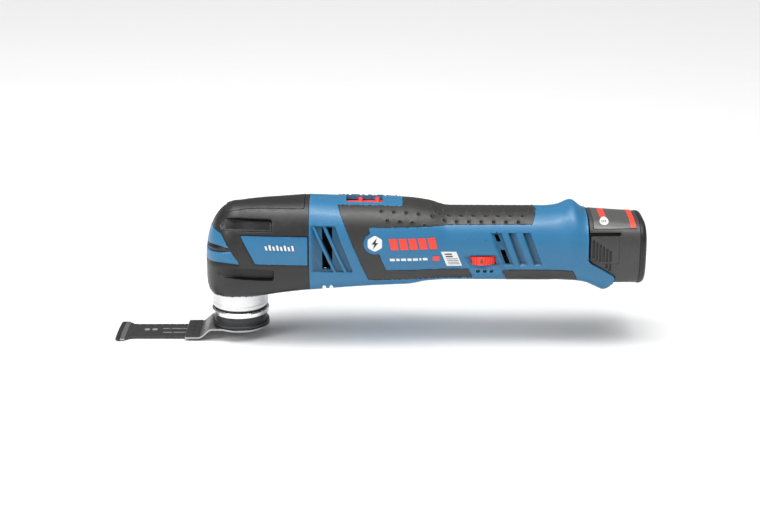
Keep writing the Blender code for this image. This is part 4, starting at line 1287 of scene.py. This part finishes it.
def speed_dial():
    """A ribbed thumb wheel with a number at each of its settings."""
    ribs, outline = 54, []
    settings = [math.radians(-90 + 48 * i) for i in range(6)]
    x, y = DIAL
    for i in range(ribs):
        for part, depth in ((0, 0), (0.4, 0), (0.5, 0.7), (0.9, 0.7)):
            a = 2 * math.pi * (i + part) / ribs
            gap = min(abs(math.remainder(a - s, 2 * math.pi))
                      for s in settings)
            r = DIAL_RADIUS - (depth if gap > 0.12 else 0)
            outline.append((x + r * math.cos(a), y + r * math.sin(a)))
    wheel = slab("speed_dial_wheel", outline, 44.8, 50.5, "Z", bevel=0.12,
                 segments=2)
    finish(wheel, "dial", "red", "speed_dial")
    for i, angle in enumerate(settings):
        number = len(settings) - i
        curve = bpy.data.curves.new(f"dial_number_{number}", "FONT")
        curve.body = str(number)
        curve.size = 4.3 * MM
        curve.offset = 0.07 * MM
        curve.align_x = curve.align_y = "CENTER"
        curve.extrude = 0.03 * MM
        text = bpy.data.objects.new(f"dial_number_{number}", curve)
        text.location = ((x + DIAL_RADIUS * math.cos(angle)) * MM,
                         (y + DIAL_RADIUS * math.sin(angle)) * MM,
                         DIAL_LEVEL * MM)
        text.rotation_euler = (math.pi / 2, 0, angle + math.pi / 2)
        bpy.context.scene.collection.objects.link(text)
        finish(text, "dial", "print_dark", slot="red_plastic")


def light_pipe():
    """The clear bar with three domed lenses."""
    face = -float(BODY.at(*[np.array([v]) for v in
                            BODY.from_side(CHARGE_X[1], CHARGE_Z)],
                          -1)[0, 1])
    back = face - 4.0
    bar = slab("charge_light_bar",
               rounded(rect(153.9, 38.9, 166.7, 42.1), 0.6), -back,
               -back + 2.5, bevel=0.3)
    finish(bar, "housing", "clear", "charge_light_pipe")
    dome = [(0, face - 0.9)] + [(1.15 * math.sin(a), face - 1.5
                                 + 0.6 * math.cos(a))
                                for a in np.linspace(0.2, math.pi / 2, 7)]
    dome += [(1.15, back - 0.2), (0, back - 0.2)]
    dome = [(r, -y) for r, y in dome]
    for i, x in enumerate(CHARGE_X, 1):
        lens = turned(f"charge_lens_{i}", dome, 0, 32,
                      (x, 0, CHARGE_Z), "Y")
        face_outward(lens)
        finish(lens, "housing", "clear")


def face_outward(item):
    """Make every face of a closed piece point outward."""
    bm = bmesh.new()
    bm.from_mesh(item.data)
    bmesh.ops.recalc_face_normals(bm, faces=bm.faces)
    bm.to_mesh(item.data)
    bm.free()


def star(radius, lobes=6, depth=0.25, count=48):
    """A lobed ring, as a driver's recess or the accessory's hole."""
    return [((radius + depth * math.cos(lobes * a)) * math.cos(a),
             (radius + depth * math.cos(lobes * a)) * math.sin(a))
            for a in np.linspace(0, 2 * math.pi, count, endpoint=False)]


def screws():
    """Pan-head screws that go in from the right side."""
    for number, (x, z) in enumerate(SCREWS, 1):
        low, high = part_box(f"housing_screw_{number}")
        top = high.y / MM
        shank = [(0, low.y / MM), (1.2, low.y / MM), (1.5, low.y / MM + 2),
                 (1.5, top - 1.7), (2.6, top - 1.6), (2.6, top - 0.9),
                 (0, top - 0.9)]
        body = turned(f"screw_{number}_shank", shank, 0.1, 40, (x, 0, z),
                      "Y")
        face_outward(body)
        finish(body, "housing", "black_steel", f"housing_screw_{number}")
        cap = slab(f"screw_{number}_head",
                   [(x + a, z + b) for a, b in oval(0, 0, 2.6, 2.6, 40)],
                   top - 1.0, top, bevel=0.35, segments=4,
                   holes=[[(x + a, z + b) for a, b in star(1.05)]])
        finish(cap, "housing", "black_steel")


# ----------------------------------------------------- gear case and spindle

def gear_case():
    """Die-cast housing round the spindle, and its tube to the motor."""
    case = [(14.6, 10.3), (17.6, 10.3), (18.3, 11.0), (18.3, 12.9),
            (18.0, 13.2), (18.0, 13.8), (18.3, 14.1), (18.3, 24),
            (16.2, 27), (16.2, 56), (15.2, 60.5), (12.4, 65.3),
            (7.6, 65.3), (7.6, 64.6), (9.9, 64.6), (9.9, 59.6),
            (13.2, 59.6), (13.2, 25), (9.6, 24), (9.6, 21.4),
            (14.6, 21.4), (14.6, 11.3)]
    shell = turned("gear_case_shell", case, 0.25, 192)
    face_outward(shell)
    finish(shell, "housing", "die_cast", "gear_housing")
    tube = [(17.4, 16.5), (17.4, 44.5), (14.4, 44.5), (14.4, 36),
            (13.2, 36), (13.2, 16.5)]
    tube = [(r, -x) for r, x in tube]
    tube = turned("gear_case_tube", tube, 0.3, 128, (0, 0, MOTOR_Z), "X")
    tube.data.transform(Matrix.Scale(-1, 4, (1, 0, 0)))
    face_outward(tube)
    finish(tube, "housing", "die_cast")


# Piece, body, look, CAD node, corner rounding, steps, (radius, height)
STACK = [
    ("spindle_seal_ring", "housing", "rubber", "spindle_seal", 0.2, 144,
     [(7.9, 9.32), (17.9, 9.32), (17.9, 9.9), (7.9, 9.9)]),
    ("holder_ring_band", "spindle", "steel", "holder_ring", 0.22, 192,
     [(8.4, 5.35), (18.4, 5.35), (19.0, 5.9), (19.0, 8.3), (18.3, 9.0),
      (8.4, 9.0)]),
    ("tool_holder_cup", "spindle", "black_steel", "tool_holder", 0.15, 192,
     [(10.4, -2.05), (18.6, -2.05), (18.9, -1.7), (18.9, -0.6),
      (18.5, -0.2), (17.5, 0.35), (17.4, 1.2), (17.15, 1.4), (17.15, 1.7),
      (17.4, 1.9), (17.4, 5.0), (3.0, 5.0), (3.0, 2.9), (9.2, 2.9),
      (10.4, 1.7)]),
    ("push_rod_pin", "push_rod", "steel", "push_rod", 0.12, 64,
     [(0, 0), (1.9, 0), (2.4, 0.5), (2.4, 58), (5.3, 58.1), (5.3, 59.6),
      (2.4, 59.6), (2.4, 67.4), (1.8, 68.0), (0, 68.0)])]


def spindle_stack():
    """The turned pieces on the spindle, and the two clamp jaws."""
    for name, body, look, node, soft, steps, profile in STACK:
        finish(turned(name, profile, soft, steps), body, look, node)
    for label, side in (("front", -1), ("rear", 1)):
        hook = [(side * 4.0, 2.4), (side * 5.9, 2.4), (side * 5.9, -4.0),
                (side * 8.0, -4.1), (side * 7.4, -5.2), (side * 4.0, -5.2)]
        jaw = slab(f"jaw_{label}_hook", rounded(hook, 0.35, 3), -2.6, 2.6,
                   bevel=0.25)
        finish(jaw, f"jaw_{label}", "black_steel", f"jaw_{label}")


# ------------------------------------------------------------------- blade

CARRIER_BEND = [(-40, -8.75), (-27.6, -8.75), (-26.4, -8.62),
                (-25.2, -8.0), (-20.6, -3.9), (-19.4, -3.15),
                (-18.2, -3.0), (30, -3.0)]


def blade():
    """Cranked carrier with a welded saw strip, teeth and marks."""
    disc = arc(0, 0, 19.0, -125.5, 125.5, 72)
    arm = [(-13.0, 15.45), (-35.6, 15.45), (-36.3, 14.7), (-36.3, -14.7),
           (-35.6, -15.45), (-13.0, -15.45)]
    outline = np.array(dense(disc + arm, 0.9))
    xs, zs = zip(*CARRIER_BEND)

    def place(uv):
        return np.column_stack([uv, np.interp(uv[:, 0], xs, zs)])

    place.upward = True
    bends = [(x, y) for x in xs[1:-1] for y in np.arange(-15, 15.1, 1.2)]
    hole = np.array(dense(star(7.3, 12, 0.45, 96), 0.5))
    carrier = panel("blade_carrier_plate", [place], outline, [hole],
                    lift=0.55, depth=0.55, edge=0.25, pitch=1.6,
                    more=bends)
    finish(carrier, "spindle", "blade", "blade_carrier")
    pad = [(-26.9, 15.1), (-35.4, 15.1), (-35.9, 14.6), (-35.9, -14.6),
           (-35.4, -15.1), (-26.9, -15.1)]
    low = float(np.interp(-30, xs, zs)) + 0.5
    plate = slab("blade_pad_plate", rounded(pad, 0.5, 3), low, low + 0.32,
                 "Z", bevel=0.12, segments=2)
    finish(plate, "spindle", "blade_dark")
    for i, y in enumerate((-10.2, -3.4, 3.4, 10.2)):
        spot = slab(f"blade_pad_weld_{i + 1}", oval(-31.4, y, 1.1, 1.1, 18),
                    low + 0.3, low + 0.4, "Z", bevel=0.04, segments=1)
        finish(spot, "spindle", "tooth", slot="blade_steel")
    neck = [(-25.6, 11.7), (-70.0, 11.7), (-73.4, 12.2), (-76.0, 15.8),
            (-76.0, -15.8), (-73.4, -12.2), (-70.0, -11.7),
            (-25.6, -11.7)]
    strip = slab("saw_strip_plate", rounded(neck, 0.8, 4), -10.35, -9.5,
                 "Z", bevel=0.1, segments=2)
    finish(strip, "spindle", "blade_dark", "saw_strip")
    half = 16                           # half the cutting edge

    def bow(y):
        return 0.5 * (1 - (y / half) ** 2)

    band = [(-76.05, 15.9)] + [(-78.9 - bow(y), y)
                               for y in np.linspace(half, -half, 13)]
    band += [(-76.05, -15.9)]
    weld_band = slab("saw_strip_weld", band, -10.38, -9.42, "Z",
                     bevel=0.12, segments=2)
    finish(weld_band, "spindle", "heat")
    teeth, edge = 20, []
    pitch = 2 * half / teeth
    for i in range(teeth):
        y = half - pitch * i
        edge += [(-80.9 - bow(y), y), (-82.0 - bow(y), y - pitch * 0.72),
                 (-82.05 - bow(y), y - pitch * 0.8)]
    edge.append((-80.9, -half))
    back = [(-79.0 - bow(y), y) for y in np.linspace(-half, half, 13)]
    strip = slab("tooth_strip_plate", edge + back, -10.5, -9.42, "Z",
                 bevel=0.06, segments=2)
    finish(strip, "spindle", "tooth", "tooth_strip")
    marks = [(f"depth_tick_{i + 1}",
              rect(-34.6 - 5 * i, 9.4, -34.1 - 5 * i, 11.4))
             for i in range(8)]
    marks += [(f"blade_spot_{i + 1}", oval(-63.2 + 5.2 * i, 1.5, 1.9, 1.9))
              for i in range(2)]
    dashes = [(-53, 2.6, 5), (-47, 2.6, 7), (-39.5, 2.6, 3), (-52, -4.4, 6),
              (-45, -4.4, 8)]
    marks += [(f"blade_dash_{i}", rect(x, y, x + wide, y + 1.1))
              for i, (x, y, wide) in enumerate(dashes, 1)]
    for name, outline in marks:
        mark = slab(name, outline, -9.52, -9.47, "Z", bevel=0)
        finish(mark, "spindle", "print_grey", slot="blade_steel")


# ----------------------------------------------------------------- battery

LATCH = [(228.2, 49.2), (234.0, 46.0), (246.2, 46.0), (246.2, 64.0),
         (228.2, 64.0)]
LABEL_X, LABEL_Z = (230.0, 257.2), 68.2
# x, top and bottom of the rib grooves on the latch and under it
RIBS = [(229.9 + 2.2 * i, 61.4 - 1.36 * i, 49.4 - 1.75 * i)
        for i in range(6)]
# y, z and the arc's first and last angle round each of the three cells
CELL_HULL = [(-9.4, 45.2, 150, 270), (9.4, 45.2, 270, 390),
             (0.0, 61.4, 30, 150)]


def case_path(points, radius=0.5, closed=True):
    return side_path(points, radius, CASE, closed)


def over_top(points):
    """An outline whose open ends are carried over the top centre line."""
    path = case_path(points, 0, closed=False)
    return np.vstack([path, [(path[-1, 0], -4), (path[0, 0], -4)]])


def label_patch(name, points, look, **settings):
    """A film over both sides, down from the battery's top centre line."""
    path = case_path(points, 0, closed=False)
    path[0, 1] = path[-1, 1] = 0
    outline, real = join_paths((path, True),
                               (line(path[-1], path[0]), False))
    film = panel(name, both(CASE), outline, real=real, pitch=2.0,
                 **settings)
    return finish(film, "battery", look, slot="grey_plastic")


def foot_recess():
    edge = [(222, 48.4)] + [(x + 0.5, z + 0.4) for x, z in REAR_EDGE]
    edge = rounded(edge[:6], [0, 2, 3, 1.5, 1, 0])
    path = case_path(edge, 0, closed=False)
    path = path[path[:, 1] < CASE.total(path[:, 0]) - 0.5]
    far = CASE.total(path[-1:, 0])[0] + 4
    path = np.vstack([path, [(path[-1, 0], far), (218, far),
                             (218, path[0, 1])]])

    def deeper(xyz):
        return 1.0 + 1.05 * np.clip((44 - xyz[:, 2]) / 14, 0, 1)

    return step(path, -1.95, lip=0.4, foot=0.3, wall=0.5, scale=deeper)


def rib_groove(x, top, low):
    floor = case_path(rect(x - 0.5, low, x + 0.5, top), 0.4)
    return groove(floor, 0.9, 0.3)


def battery():
    """Battery case with its recesses, and the two latches."""
    end = PACK_CAP - SHUT
    front = PACK_FRONT + 0.1
    total = float(CASE.total(end))
    outline, real = join_paths(
        (line((front, 0), (end, 0)), False),
        (line((end, 0), (end, total)), True),
        (low_line(end, front, CASE), False),
        (line((front, float(CASE.total(front))), (front, 0)), True))
    latch_room = [(227.6, 49.2), (233.9, 45.8), (246.35, 45.8),
                  (246.35, 64.5), (227.6, 64.5)]
    slit = rect(226.5, 64.0, 247.6, 66.1)
    rim = LABEL_Z - 0.2
    front_end, rear_end = LABEL_X[0] - 0.2, LABEL_X[1] + 0.2
    window = over_top([(front_end, PACK_ABOVE), (front_end, rim),
                       (rear_end, rim), (rear_end, PACK_ABOVE)])
    reliefs = [step(case_path(latch_room, 0.8), -2.4, 0.05, 0.1, 0.1),
               step(case_path(slit, 1.0), -2.6, 0.15, 0.15, 0.1),
               step(window, -0.6, 0.2, 0.1, 0.1), foot_recess()]
    reliefs += [rib_groove(x, 45.3, low) for x, _, low in RIBS[4:]]
    case = panel("battery_case_shell", both(CASE), outline,
                 reliefs=reliefs, real=real, depth=3.0, edge=0.3,
                 pitch=1.7)
    finish(case, "battery", "pack", "battery_case")
    for label, side in SIDES:
        grooves = [rib_groove(x, top, max(low, 46.9))
                   for x, top, low in RIBS]
        latch = panel(f"latch_{label}_button", [on(CASE, side)],
                      case_path(LATCH, 0.9), reliefs=grooves, depth=1.8,
                      edge=0.12, pitch=1.3)
        finish(latch, f"latch_{label}", "pack", f"latch_{label}")
    battery_label()
    battery_stem()
    battery_end()


def battery_label():
    front, rear = LABEL_X
    film = label_patch("battery_label_film",
                       [(front, PACK_ABOVE), (front, LABEL_Z),
                        (rear, LABEL_Z), (rear, PACK_ABOVE)],
                       "label", depth=0.45, edge=0.15)
    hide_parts("battery_label")
    lean = 0.6
    for name, x, wide, low in (("front", 234.2, 4.0, 73.05),
                               ("rear", 253.4, 3.4, 68.4)):
        label_patch(f"label_stripe_{name}",
                    [(x, PACK_ABOVE), (x + lean, low),
                     (x + wide + lean, low), (x + wide, PACK_ABOVE)],
                    "print_red", lift=0.05, depth=0.1, edge=0)
    on_label = dict(body="battery", slot="grey_plastic", surface=CASE,
                    soft=0)
    decal("label_spot", oval(237.0, 71.6, 2.9, 1.5), "print_white",
          lift=0.05, **on_label)
    for i in range(3):
        x = 235.6 + 1.2 * i
        decal(f"label_bar_{i + 1}", rect(x - 0.3, 71.2, x + 0.3, 72.1),
              "print_dark", lift=0.09, **on_label)


def battery_stem():
    """The cell carrier in the handle, and the plate it stands on."""
    front, face_end, rear = 190.0, 191.9, 229.0
    hull = [point for y, z, start, end in CELL_HULL
            for point in arc(y, z, 10.6, start, end, 16)]
    pocket = rounded(rect(-10.4, 46.6, 10.4, 58.4), 0.5)
    stem = slab("battery_stem_block", hull, face_end, rear, "X", bevel=0.3)
    finish(stem, "battery", "black")
    face = slab("battery_stem_face", hull, front, face_end, "X", bevel=0.5,
                holes=[pocket])
    finish(face, "battery", "black")
    ring = []
    top, wide, low, half, up, down = PACK
    for phi in np.linspace(0, 2 * math.pi, 96, endpoint=False):
        c, s = math.cos(phi), math.sin(phi)
        power = 2 / (up if c > 0 else down)
        reach = (top if c > 0 else low) - wide
        y = half * abs(s) ** power * math.copysign(1, s)
        z = wide + reach * abs(c) ** power
        shrunk = np.array((y, z - wide))
        shrunk *= 1 - 4.4 / np.linalg.norm(shrunk)
        ring.append((shrunk[0], shrunk[1] + wide))
    front = slab("battery_front_plate", ring, 228.4, 230.6, "X", bevel=0.5)
    finish(front, "battery", "black")


def cap_shrink(x):
    """How far the end cap has rounded in at a length."""
    t = np.clip((x - PACK_CAP - 0.6) / (PACK_END - PACK_CAP - 0.6), 0, 1)
    return 3.6 * (1 - np.sqrt(np.maximum(1 - t ** 2.4, 0)))


def battery_end():
    """The rounded end cap, with a shallow panel in its face."""
    turn = PACK_END - 1.9
    xs = list(np.linspace(PACK_CAP + SHUT, turn, 8))
    xs += list(PACK_END - 0.1 - 1.8 * (1 - np.linspace(0.1, 1, 8)) ** 1.6)
    steps, rings = 160, []
    phi = np.linspace(0, 2 * math.pi, steps, endpoint=False)
    rings.append((PACK_CAP + SHUT, 0.5))
    rings += [(x, float(cap_shrink(x))) for x in xs]
    rings += [(PACK_END - 0.05, 5.2), (PACK_END, 6.8),
              (PACK_END - 0.15, 7.1), (PACK_END - 0.5, 7.3),
              (PACK_END - 0.6, 7.6), (PACK_END - 0.6, 12.0)]
    side = np.where(phi <= math.pi, 1, -1)
    g = np.where(phi <= math.pi, phi, 2 * math.pi - phi) / math.pi
    verts, faces = [], []
    for x, shrink_by in rings:
        off = CASE.at(np.full(steps, x), g * CASE.total(x), side)
        off -= (x, 0, PACK[1])
        off *= 1 - shrink_by / np.linalg.norm(off, axis=1)[:, None]
        verts.append(off + (x, 0, PACK[1]))
    n = len(verts)
    verts = np.vstack(verts)
    for k in range(n - 1):
        for i in range(steps):
            j = (i + 1) % steps
            faces.append((k * steps + i, (k + 1) * steps + i,
                          (k + 1) * steps + j, k * steps + j))
    faces.append(list(range(steps)))
    faces.append(list(range((n - 1) * steps, n * steps))[::-1])
    cap = to_object("battery_end_shell", verts, faces, sharp=50)
    face_outward(cap)
    finish(cap, "battery", "black", "battery_end_cap")


# ------------------------------------------------------------------ studio

CAMERA_AIM = Vector((0.0927, 0.0, 0.036))
CAMERA_FAR, CAMERA_RISE, LENS = 1.063, math.radians(19.3), 76.3
FLOOR_Z, FLOOR_HALF = -0.0112, 30.0


def area_light(name, place, aim, size, watts):
    light = bpy.data.lights.new(name, "AREA")
    light.shape = "RECTANGLE"
    light.size, light.size_y = size
    light.energy = watts
    item = bpy.data.objects.new(name, light)
    item.location = place
    item.rotation_euler = (Vector(aim) - Vector(place)).to_track_quat(
        "-Z", "Y").to_euler()
    bpy.context.scene.collection.objects.link(item)


def studio():
    """Pale floor, soft light from above and in front, and the camera."""
    floor = to_object("studio_floor", np.array(
        [(x * FLOOR_HALF, y * FLOOR_HALF, FLOOR_Z)
         for x, y in ((-1, -1), (1, -1), (1, 1), (-1, 1))]) / MM,
        [(0, 1, 2, 3)])
    floor.data.materials.append(
        shade("studio_paper", 0.92, 0.7, 0, 0.5, 0.01, 0.01, shade_paint=0))
    world = bpy.data.worlds.new("studio_world")
    world.use_nodes = True
    sky = world.node_tree.nodes["Background"]
    sky.inputs["Color"].default_value = (1, 1, 1, 1)
    sky.inputs["Strength"].default_value = 0.21
    scene = bpy.context.scene
    scene.world = world
    scene.view_settings.view_transform = "Standard"
    overhead = bpy.data.lights.new("top", "SUN")
    overhead.energy, overhead.angle = 2.1, 1.2
    lamp = bpy.data.objects.new("top", overhead)
    lamp.rotation_euler = (0.12, 0, 0)
    scene.collection.objects.link(lamp)
    area_light("strip", (0.05, -0.1, 1.0), (0.09, 0, 0), (1.0, 0.22), 5.5)
    area_light("key", (-0.95, -0.75, 0.75), (0.09, 0, 0.05), (0.5, 0.4), 6)
    area_light("front", (0.1, -2.0, 0.7), (0.09, 0, 0.05), (2.4, 1.0), 2.6)
    camera = bpy.data.cameras.new("camera")
    camera.lens, camera.sensor_width = LENS, 36.0
    item = bpy.data.objects.new("camera", camera)
    item.location = CAMERA_AIM + CAMERA_FAR * Vector(
        (0, -math.cos(CAMERA_RISE), math.sin(CAMERA_RISE)))
    item.rotation_euler = (CAMERA_AIM - item.location).to_track_quat(
        "-Z", "Y").to_euler()
    scene.collection.objects.link(item)
    scene.camera = item


# ------------------------------------------------------------------- build

dress_kept_nodes()
head()
release_lever()
housing()
grips()
vent_screens()
prints()
switch()
speed_dial()
light_pipe()
screws()
gear_case()
spindle_stack()
blade()
battery()
studio()
